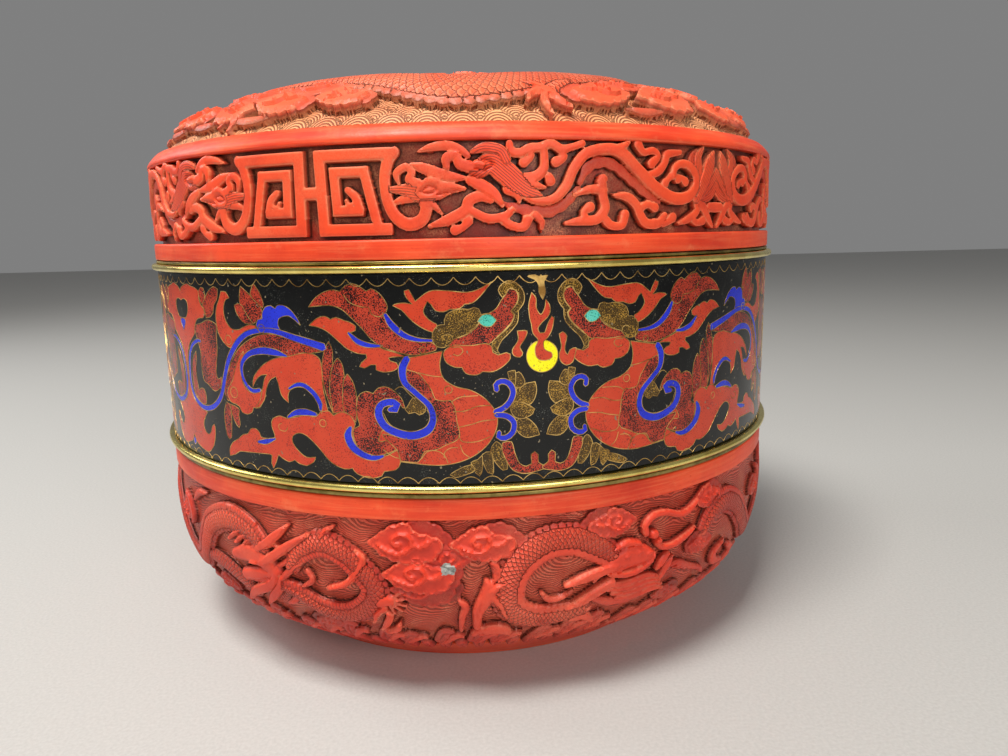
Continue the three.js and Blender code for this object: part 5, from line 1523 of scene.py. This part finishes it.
              (-26, 12.4), (-25.1, 12.3), (-24.4, 13.2)]),
    ("brown", [(8.6, 32, 1), (7, 32.6), (5.9, 34.3), (5.6, 37.6), (6.4, 38.2), (7.6, 38.8), (8.4, 37.4),
               (8.8, 34.5)]),
    ("brown", [(9.1, 47.8, 1), (8.6, 45), (7.3, 42.5), (6, 43.2), (6, 46), (7.2, 48.3)]),
    ("brown", [(8.5, 40, 1), (7.2, 38.2), (5.6, 37.6), (5.2, 40), (5.9, 42.3), (7, 42.6), (8.2, 41.4)]),
    ("brown", [(6.4, 28.9), (7, 30.5), (7.2, 32.6), (6.2, 33.6), (5.6, 32.3), (5.7, 30)]),
    ("brown", [(4.9, 28.8, 1), (5.9, 28.4), (6.0, 30.0), (5.8, 33), (5.2, 31.4)]),
    ("brown", [(3.2, 49), (4, 51), (4.5, 55), (4.6, 57.5), (4, 57.8), (2.9, 55), (2.4, 51.5)]),
    ("brown", [(2.4, 52), (2.7, 56), (2.6, 58.8), (1.9, 58.2), (1.3, 55), (1.2, 52.8)]),
    ("brown", [(1.2, 53), (1.2, 57), (0.8, 59.2), (0.2, 58), (-0.3, 55), (0.6, 54.2)]),
    ("brown", [(-0.2, 55.6, 1), (-1.5, 56.4), (-3.2, 58.5), (-2.5, 59.4), (-1, 58.6), (0.2, 57.4)]),
    ("speckled", [(4, 49.5, 1), (5.2, 49.3), (5.7, 53), (6.3, 56), (7.2, 57), (7.9, 56.4), (7.9, 53.5),
                  (8.4, 52.7), (8.9, 53.8), (8.9, 56), (9.7, 57.2, 1), (9.7, 58.2, 1), (8.5, 58.8), (7, 59.2),
                  (5.4, 58), (4.5, 55), (3.9, 51.5)]),
]

# Blue fins and cloud bands, as paths of (degrees, mm down, width), drawn over the cells.
FIN_PATHS = [
    [(-20, 21.2, 2.4), (-22, 20, 2.2), (-24.5, 18.7, 2.0), (-27, 17.3, 1.7), (-29, 16.8, 1.5),
     (-31.5, 17.2, 1.6), (-33.5, 18.5, 1.8), (-35.5, 21.5, 2.0), (-37.5, 26.5, 1.9), (-38.8, 32, 1.8),
     (-40, 38, 1.8), (-41.5, 41.5, 1.8), (-43.5, 43.6, 1.8), (-46, 44, 1.8), (-48.5, 41.5, 1.8),
     (-49.6, 37, 1.7), (-49.5, 31, 1.6), (-48.8, 26.5, 1.5), (-47.5, 23.5, 1.4), (-45.8, 22, 1.3),
     (-44.8, 22, 0.9)],
    [(-26, 24.2, 0.6), (-28, 23.3, 2.0), (-30.5, 23, 2.2), (-33, 24.3, 1.8), (-34.6, 27.3, 1.5),
     (-34.8, 31, 1.3), (-34, 34.2, 1.3), (-32.8, 35.7, 1.4), (-31.4, 35.2, 1.2)],
    [(-26.1, 34, 0.7), (-24.6, 32.6, 1.3), (-23.3, 32.9, 1.5), (-21.9, 35.2, 1.6), (-21.1, 38.2, 1.5),
     (-21.1, 40, 0.8)],
    [(-26.6, 42.8, 0.8), (-25.2, 41.2, 1.8), (-23.5, 40.8, 2.0), (-21.8, 41.3, 1.0)],
    [(-16.7, 44.6, 1.0), (-17.2, 47, 2.4), (-16.6, 50.5, 2.4), (-15, 52.9, 2.0), (-13.4, 53.6, 1.6),
     (-12.2, 52.9, 0.8)],
    [(-32.6, 51.8, 0.9), (-31, 51.3, 1.7), (-29.2, 50, 0.6)],
    [(-8.3, 24.1, 2.0), (-9.0, 27, 2.3), (-8.8, 31, 1.9), (-7.3, 34.3, 1.7), (-5.6, 38, 1.8), (-5.2, 42, 2.0),
     (-6.0, 45.2, 2.4), (-8, 46.7, 2.4), (-10, 46, 2.4), (-11.8, 44, 2.4), (-12.6, 40.5, 2.4),
     (-12.2, 37.8, 2.2), (-11, 36.8, 2.1), (-10, 37.4, 2.4), (-10.3, 38.9, 2.4), (-11.1, 39.1, 1.4)],
    [(-11, 11.6, 1.0), (-10.2, 14.6, 1.9), (-8.6, 17.6, 1.7), (-6.8, 18.9, 1.2), (-4.9, 19.2, 0.8)],
    [(-16.2, 16.9, 0.8), (-15, 19.3, 1.6), (-13.5, 20.4, 1.4), (-11.8, 20.6, 0.7)],
    [(3.4, 34, 1.5), (3.3, 32.4, 1.6), (4.0, 31.4, 1.6), (5.0, 32.0, 1.7), (5.6, 34.4, 1.7), (5.2, 37.2, 1.7),
     (4.3, 39.2, 1.7), (3.1, 40.2, 1.5)],
    [(3.2, 41.2, 1.5), (4.6, 41.6, 1.7), (5.6, 43.6, 1.7), (5.4, 46.6, 1.7), (4.4, 48.1, 1.7),
     (3.5, 47.6, 1.6), (3.6, 46.2, 1.3)],
]

# Loose wires inside the cells: scales of the belly, curls and rings.
DRAGON_WIRES = [
    [(-6.9, 28.3), (-5.3, 29.2), (-3.7, 29.6)],
    [(-2.7, 37), (-1.5, 35.6), (0.9, 35.3)],
    [(-2.5, 39.8), (-0.8, 39.6), (0.8, 38.4), (2.5, 38.3)],
    [(-1.8, 44.4), (0, 43.6), (1.3, 42.8), (3.1, 42.5)],
    [(-1.8, 46.5), (-1.4, 48.6), (0.6, 48.8), (2.5, 47.4)],
    [(-1.7, 49.5), (-1.3, 52), (-0.5, 53.4)],
    [(-3.9, 53.4), (-3.8, 51.7), (-3, 50.5), (-2, 50.4)],
    [(-7, 53.7), (-6.2, 51.6), (-5, 51.2), (-3.9, 52.5), (-3.4, 55.0)],
    [(-3.4, 18), (-2.8, 17.4), (-2.2, 18.2), (-2.2, 19.3), (-2.8, 19.7)],
    [(-2.4, 21.3), (-1.3, 21.2), (-0.9, 22.5), (-1.6, 23.7), (-2.2, 23.2)],
    [(-13.2, 9.5), (-12.8, 11.5), (-11.8, 12.3), (-10.9, 11.2)],
    [(-27.8, 44.9), (-28.4, 45.6), (-28.2, 47), (-27.2, 47.2), (-26.8, 46.0)],
    [(-16.6, 6.0), (-15.8, 8.2), (-14.4, 9.4), (-13.4, 9.6)],
    [(-12.2, 51), (-10.9, 53), (-9.9, 53.6)],
]
# Rings of wire: (degrees, mm down, radius in mm).
WIRE_RINGS = [(-3.0, 33.3, 1.1), (-30.2, 16.3, 1.3), (-37.0, 37.0, 1.7), (-37.2, 20.5, 1.5),
              (-20.9, 43.8, 1.1), (-6.2, 21.9, 0.9)]

# The pearl between the dragons and the flames that rise from it.
PEARL = (9.65, 24.7, 4.65)
FLAME_CELLS = [
    ("gold", [(7.8, 2.0), (8.8, 3.0), (9.3, 4.6), (9.3, 6.5), (9.8, 8.6, 1), (10.15, 6.6), (10.0, 3.6),
              (10.5, 1.9), (9.4, 2.2), (8.8, 1.7)]),
    ("red", [(6.3, 17.2, 1), (7.6, 17.3), (7.3, 19.5), (6.6, 21.8), (7.0, 23.5), (6.6, 24.7), (5.8, 24.2),
             (5.6, 22.5), (6.4, 19.8)]),
    ("red", [(12, 18.6, 1), (12.5, 18), (13.1, 19.3), (12.9, 21.3), (12.8, 23.5), (13.2, 24.7), (13.5, 23.4),
             (14.4, 22.9), (14.2, 25.2), (13.9, 27), (13, 27.8), (12.2, 26.5), (12, 24.5), (12.3, 22.2)]),
    ("red", [(8.3, 6.5, 1), (8.9, 8.2), (8.9, 10.8), (9.5, 12.8), (10.05, 11), (10.2, 8.6, 1), (10.7, 10.1),
             (10.8, 12.1), (10.4, 13.7), (9.7, 15), (9.1, 16.7), (9.4, 18.1), (10, 18), (10.4, 15.7),
             (11, 13.4, 1), (11.3, 14), (11, 17.3), (10.4, 19.5), (9.85, 20.6), (9.9, 22.6), (10.3, 23.3),
             (10.9, 23.8), (11.0, 25.2), (10.2, 26.0), (9.2, 25.7), (8.7, 24.2), (8.7, 21.9), (9.1, 20.1),
             (8.4, 18), (8.2, 15.4), (8.0, 13.7), (7.9, 10)]),
]


def flat_place(points):
    """Rows in mm from places in degrees and mm, other columns kept."""
    rows = np.array([[*p[:2], p[2] if len(p) > 2 else 0.0] for p in points], float)
    rows[:, 0] *= BAND_DEGREE
    return rows


def closed_outline(points, step=0.9):
    """A closed smooth line through the places, broken at the sharp corners: each run
    between two corners is a curve of its own."""
    rows = flat_place(points)
    corners = np.nonzero(rows[:, 2])[0]
    rows = rows[:, :2]
    if not len(corners):
        padded = np.vstack([rows[-2:], rows, rows[:3]])
        dense = curve_through(np.column_stack([padded, np.zeros(len(padded))]), step)[:, :2]
        first = np.argmin(np.hypot(*(dense - rows[0]).T)[: len(dense) // 2])
        last = len(dense) // 2 + np.argmin(np.hypot(*(dense - rows[0]).T)[len(dense) // 2:])
        return dense[first:last]
    rows = np.roll(rows, -corners[0], axis=0)
    corners = corners - corners[0]
    runs = []
    for start, end in zip(corners, [*corners[1:], len(rows)]):
        run = np.vstack([rows[start:end + 1], rows[:1]]) if end == len(rows) else rows[start:end + 1]
        runs.append(curve_through(np.column_stack([run, np.zeros(len(run))]), step)[:-1, :2])
    return np.vstack(runs)


def band_outline(path, step=0.9):
    """A closed outline round a path of [u, w, width]: its two sides, joined at round tips."""
    rows = curve_through(flat_place(path), step)
    run = directions(rows[:, :2])
    side = np.stack([-run[:, 1], run[:, 0]], 1) * rows[:, 2:] / 2
    tips = [rows[k, :2] + sign * run[k] * rows[k, 2] * 0.4 for k, sign in ((-1, 1), (0, -1))]
    return np.vstack([rows[:, :2] + side, tips[:1], (rows[:, :2] - side)[::-1], tips[1:]])


def disc_outline(angle, down, radius, steps=28):
    """A circle in mm about a place."""
    turn = np.linspace(0, 2 * np.pi, steps, endpoint=False)
    return np.stack([angle * BAND_DEGREE + radius * np.cos(turn), down + radius * np.sin(turn)], 1)


def mirrored(outline):
    """The outline mirrored across the pearl."""
    return np.stack([2 * PEARL_ANGLE * BAND_DEGREE - outline[:, 0], outline[:, 1]], 1)


def within(spots, outline):
    """Which spots lie inside a closed outline: the line to the right crosses it an odd
    number of times."""
    inside = np.zeros(len(spots), bool)
    for (x0, y0), (x1, y1) in zip(outline, np.roll(outline, -1, axis=0)):
        if y0 != y1:
            crosses = ((y0 > spots[:, 1]) != (y1 > spots[:, 1]))
            inside ^= crosses & (spots[:, 0] < (x1 - x0) * (spots[:, 1] - y0) / (y1 - y0) + x0)
    return inside


cells = []
for colour, points in DRAGON_CELLS:
    outline = closed_outline(points)
    cells += [(colour, outline), (colour, mirrored(outline))]
for path in FIN_PATHS:
    outline = band_outline(path)
    cells += [("blue", outline), ("blue", mirrored(outline))]
cells.append(("yellow", disc_outline(*PEARL, steps=40)))
for colour, points in FLAME_CELLS:
    cells.append((colour, closed_outline(points, 0.7)))

left, right_end = TAIL_ANGLE * BAND_DEGREE, (TAIL_ANGLE + 120) * BAND_DEGREE
high, low = BAND_LINE - BAND_TOP, BAND_LINE - BAND_BOTTOM


def in_picture(spots):
    """Which spots lie inside the picture's four sides."""
    return ((spots > [left, high]) & (spots < [right_end, low])).all(1)


# The picture is cut into triangles along every outline, and each triangle takes the
# colour of the last cell that its middle lies in.
STRIPS = 48  # upright strips, so that the wall is round
columns = np.linspace(left, right_end, STRIPS + 1)
frame_spots = np.concatenate([np.stack([columns, np.full(STRIPS + 1, line)], 1) for line in (high, low)])
cuts = [(k, k + STRIPS + 1) for k in range(STRIPS + 1)] + [
    (start + k, start + k + 1) for start in (0, STRIPS + 1) for k in range(STRIPS)]
spots = [frame_spots]
start = len(frame_spots)
for _, outline in cells:
    spots.append(outline)
    cuts += [(start + k, start + (k + 1) % len(outline)) for k in range(len(outline))]
    start += len(outline)
flat, _, pieces, _, _, _ = delaunay_2d_cdt([Vector(p) for p in np.concatenate(spots)], cuts, [], 0, 1e-4,
                                           False)
flat = np.array([tuple(p) for p in flat])
pieces = np.array([tuple(piece) for piece in pieces])
middle = flat[pieces].mean(1)
kept = in_picture(middle)
pieces, middle = pieces[kept], middle[kept]
piece_colour = np.full(len(pieces), "black", dtype="<U12")
for colour, outline in cells:
    near = ((middle > outline.min(0)) & (middle < outline.max(0))).all(1)
    hit = np.nonzero(near)[0][within(middle[near], outline)]
    piece_colour[hit] = colour

# Three copies side by side, welded where they meet.
period = right_end - left
count = len(flat)
flat = np.concatenate([flat + [period * k, 0] for k in range(REPEATS)])
pieces = np.concatenate([pieces + count * k for k in range(REPEATS)])
piece_colour = np.tile(piece_colour, REPEATS)
turn = flat[:, 0] / WALL_RADIUS
round_place = np.stack([np.cos(turn) * 1000, np.sin(turn) * 1000, flat[:, 1] * 10],
                       1).round(0).astype(np.int64)
_, first, weld = np.unique(round_place, axis=0, return_index=True, return_inverse=True)
flat, pieces = flat[first], weld.ravel()[pieces]
sound = (pieces != np.roll(pieces, 1, axis=1)).all(1)
pieces, piece_colour = pieces[sound], piece_colour[sound]


def on_wall(flat, radius):
    """Places on the wall from flat ones."""
    turn = flat[:, 0] / WALL_RADIUS
    return np.stack([radius * np.sin(turn), -radius * np.cos(turn), BAND_LINE - flat[:, 1]], 1) * MM


def enamel_piece(name, triangles, material):
    """Enamel of one colour: the triangles as a face, the same as a back below it, and
    walls along every open edge."""
    used, where = np.unique(triangles, return_inverse=True)
    triangles = where.reshape(-1, 3)[:, ::-1]
    count = len(used)
    edges = np.concatenate([triangles[:, [0, 1]], triangles[:, [1, 2]], triangles[:, [2, 0]]])
    code = edges[:, 0].astype(np.int64) * count + edges[:, 1]
    back_code = edges[:, 1].astype(np.int64) * count + edges[:, 0]
    open_edges = edges[~np.isin(code, back_code)]
    walls = np.stack([open_edges[:, 1], open_edges[:, 0], open_edges[:, 0] + count, open_edges[:, 1] + count],
                     1)
    corners = np.concatenate([on_wall(flat[used], WALL_RADIUS),
                              on_wall(flat[used], WALL_RADIUS - ENAMEL_DEPTH)])
    made = mesh_piece(name, corners, [np.concatenate([triangles, triangles[:, ::-1] + count]), walls],
                      material)
    made.data.set_sharp_from_angle(angle=0.7)
    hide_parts("cloisonne_band")
    return made


def enamel(name, colour, fleck, fleck_share, fleck_scale, cloud_colour, rough=0.16):
    """Fired enamel ground flush: a ground colour with clouds and flecks of another that
    gather and thin out, a few pinholes, and a glassy polish dulled in places."""
    made, tree, shader = new_material(name, colour, rough)
    shader.inputs["Specular IOR Level"].default_value = 0.36
    fine = noise(tree, fleck_scale, 2.0, 0.5)
    cloudy = noise(tree, 120.0, 3.0)
    pits = noise(tree, 900.0, 1.0, 0.4)
    look = blend_colour(tree, ramp(tree, cloudy, [(0.35, 0.0), (0.7, 0.55)]), colour, cloud_colour)
    gathered = plus(tree, fine, times(tree, minus(tree, noise(tree, 170.0, 1.0), 0.5), 0.35))
    limit = 0.5 + 0.24 * (0.5 - fleck_share)
    look = blend_colour(tree, ramp(tree, gathered, [(limit, 0.0), (limit + 0.04, 1.0)]), look, fleck)
    hole = ramp(tree, pits, [(0.235, 1.0), (0.255, 0.0)])
    look = blend_colour(tree, hole, look, srgb(128, 116, 92))
    tree.links.new(look, shader.inputs["Base Color"])
    tree.links.new(plus(tree, rough - 0.06, times(tree, cloudy, 0.14)), shader.inputs["Roughness"])
    wavy = noise(tree, 45.0, 2.0)
    bump(tree, shader, minus(tree, times(tree, wavy, 0.6), hole), 0.0003, 0.35)
    return made


brass_wire, tree, shader = new_material("brass_wire", srgb(205, 172, 112), 0.3, 1.0)
tarnish = noise(tree, 260.0, 3.0)
tree.links.new(ramp(tree, tarnish, [(0.35, srgb(142, 104, 52)), (0.6, srgb(224, 186, 112))]),
               shader.inputs["Base Color"])
tree.links.new(plus(tree, 0.25, times(tree, tarnish, 0.3)), shader.inputs["Roughness"])
ENAMELS = {
    "black": enamel("enamel_black", srgb(6, 6, 7), srgb(88, 90, 84), -0.25, 3600.0, srgb(12, 14, 13)),
    "red": enamel("enamel_red", srgb(196, 60, 34), srgb(140, 36, 24), 0.1, 2600.0, srgb(206, 76, 46)),
    "speckled": enamel("enamel_speckled", srgb(186, 62, 40), srgb(28, 13, 12), 0.52, 3000.0,
                       srgb(160, 50, 34)),
    "brown": enamel("enamel_brown", srgb(70, 50, 16), srgb(176, 134, 52), 0.26, 3400.0, srgb(46, 33, 12)),
    "blue": enamel("enamel_blue", srgb(30, 44, 196), srgb(20, 26, 140), 0.12, 2600.0, srgb(44, 62, 220)),
    "yellow": enamel("enamel_yellow", srgb(250, 238, 8), srgb(214, 190, 12), 0.05, 2600.0,
                     srgb(253, 246, 40)),
    "turquoise": enamel("enamel_turquoise", srgb(70, 190, 168), srgb(34, 124, 112), 0.2, 2600.0,
                        srgb(120, 214, 196)),
    "gold": brass_wire,
}
# Some cells are black holes cut out of others; they join the ground.
for colour, material in ENAMELS.items():
    enamel_piece("enamel_" + colour, pieces[piece_colour == colour], material)


def wire_piece(name, lines, width, material):
    """Flat wires: each line becomes a strip with a face and two sides, mitred where it
    bends, standing a little proud of the enamel and rooted below it."""
    corners, made_faces, start = [], [], 0
    for line in lines:
        closed = np.allclose(line[0], line[-1])
        run = np.gradient(line, axis=0)
        if closed:
            run[0] = run[-1] = line[1] - line[-2]
        run /= np.maximum(np.hypot(run[:, 0], run[:, 1]), 1e-9)[:, None]
        side = np.stack([-run[:, 1], run[:, 0]], 1) * width / 2
        out, low = WALL_RADIUS + WIRE_PROUD, WALL_RADIUS - 0.1
        rows = np.stack([on_wall(line - side, low), on_wall(line - 0.8 * side, out),
                         on_wall(line + 0.8 * side, out), on_wall(line + side, low)], 1)
        here = start + np.arange(4 * len(line)).reshape(-1, 4)
        corners.append(rows.reshape(-1, 3))
        for k in range(4):
            made_faces.append(np.stack([here[:-1, k], here[:-1, (k + 1) % 4], here[1:, (k + 1) % 4],
                                        here[1:, k]], 1))
        made_faces.append(here[:1, ::-1])
        made_faces.append(here[-1:])
        start += 4 * len(line)
    made = mesh_piece(name, np.concatenate(corners), np.concatenate(made_faces), material)
    made.data.set_sharp_from_angle(angle=0.9)
    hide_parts("cloisonne_band")
    return made


def visible_runs(line, above):
    """The stretches of a line that no cell in `above` covers, inside the picture."""
    middle = (line[:-1] + line[1:]) / 2
    shown = in_picture(middle)
    for outline in above:
        box_low, box_high = outline.min(0), outline.max(0)
        near = shown & (middle > box_low).all(1) & (middle < box_high).all(1)
        if near.any():
            shown[near] &= ~within(middle[near], outline)
    starts = np.nonzero(shown & ~np.concatenate([[False], shown[:-1]]))[0]
    ends = np.nonzero(shown & ~np.concatenate([shown[1:], [False]]))[0]
    return [line[a:b + 2] for a, b in zip(starts, ends)]


outlines = [outline for _, outline in cells]
wires = []
for k, outline in enumerate(outlines):
    wires += visible_runs(np.vstack([outline, outline[:1]]), outlines[k + 1:])
for path in DRAGON_WIRES:
    line = curve_through(flat_place(path), 0.7)[:, :2]
    wires += [line, mirrored(line)]
for ring in WIRE_RINGS:
    line = disc_outline(*ring, steps=18)
    line = np.vstack([line, line[:1]])
    wires += [line, mirrored(line)]
# Scallops along the top and the bottom: parabolas between points a scallop apart.
SCALLOPS = 42
for k in range(SCALLOPS):
    begin = left + period * k / SCALLOPS
    across = np.linspace(begin, begin + period / SCALLOPS, 9)
    sag = 1 - (2 * (across - begin) / (period / SCALLOPS) - 1) ** 2
    wires.append(np.stack([across, 1.7 + 2.1 * sag], 1))
    wires.append(np.stack([across, 61.1 - 1.8 * sag], 1))
for k in range(REPEATS):
    wire_piece(f"cell_wires_{k + 1}", [line + [period * k, 0] for line in wires], WIRE_WIDTH, brass_wire)

# The brass cylinder under the enamel, with its two collars and plain enamelled inside.
COLLAR_BOTTOM, COLLAR_TOP = 65.7, 146.5
counter, tree, shader = new_material("counter_enamel", srgb(26, 40, 52), 0.3)
counter_mottle = noise(tree, 90.0, 4.0)
tree.links.new(ramp(tree, counter_mottle, [(0.3, srgb(16, 26, 36)), (0.7, srgb(34, 54, 68))]),
               shader.inputs["Base Color"])
bump(tree, shader, noise(tree, 400.0, 3.0), 0.0002, 0.4)
turned("wall_core", [
    (INNER_RADIUS, COLLAR_BOTTOM), (COLLAR_RADIUS, COLLAR_BOTTOM), (COLLAR_RADIUS, BAND_BOTTOM),
    (WALL_RADIUS - ENAMEL_DEPTH, BAND_BOTTOM), (WALL_RADIUS - ENAMEL_DEPTH, BAND_TOP),
    (COLLAR_RADIUS, BAND_TOP), (COLLAR_RADIUS, COLLAR_TOP), (INNER_RADIUS, COLLAR_TOP)],
    counter, "cloisonne_band")
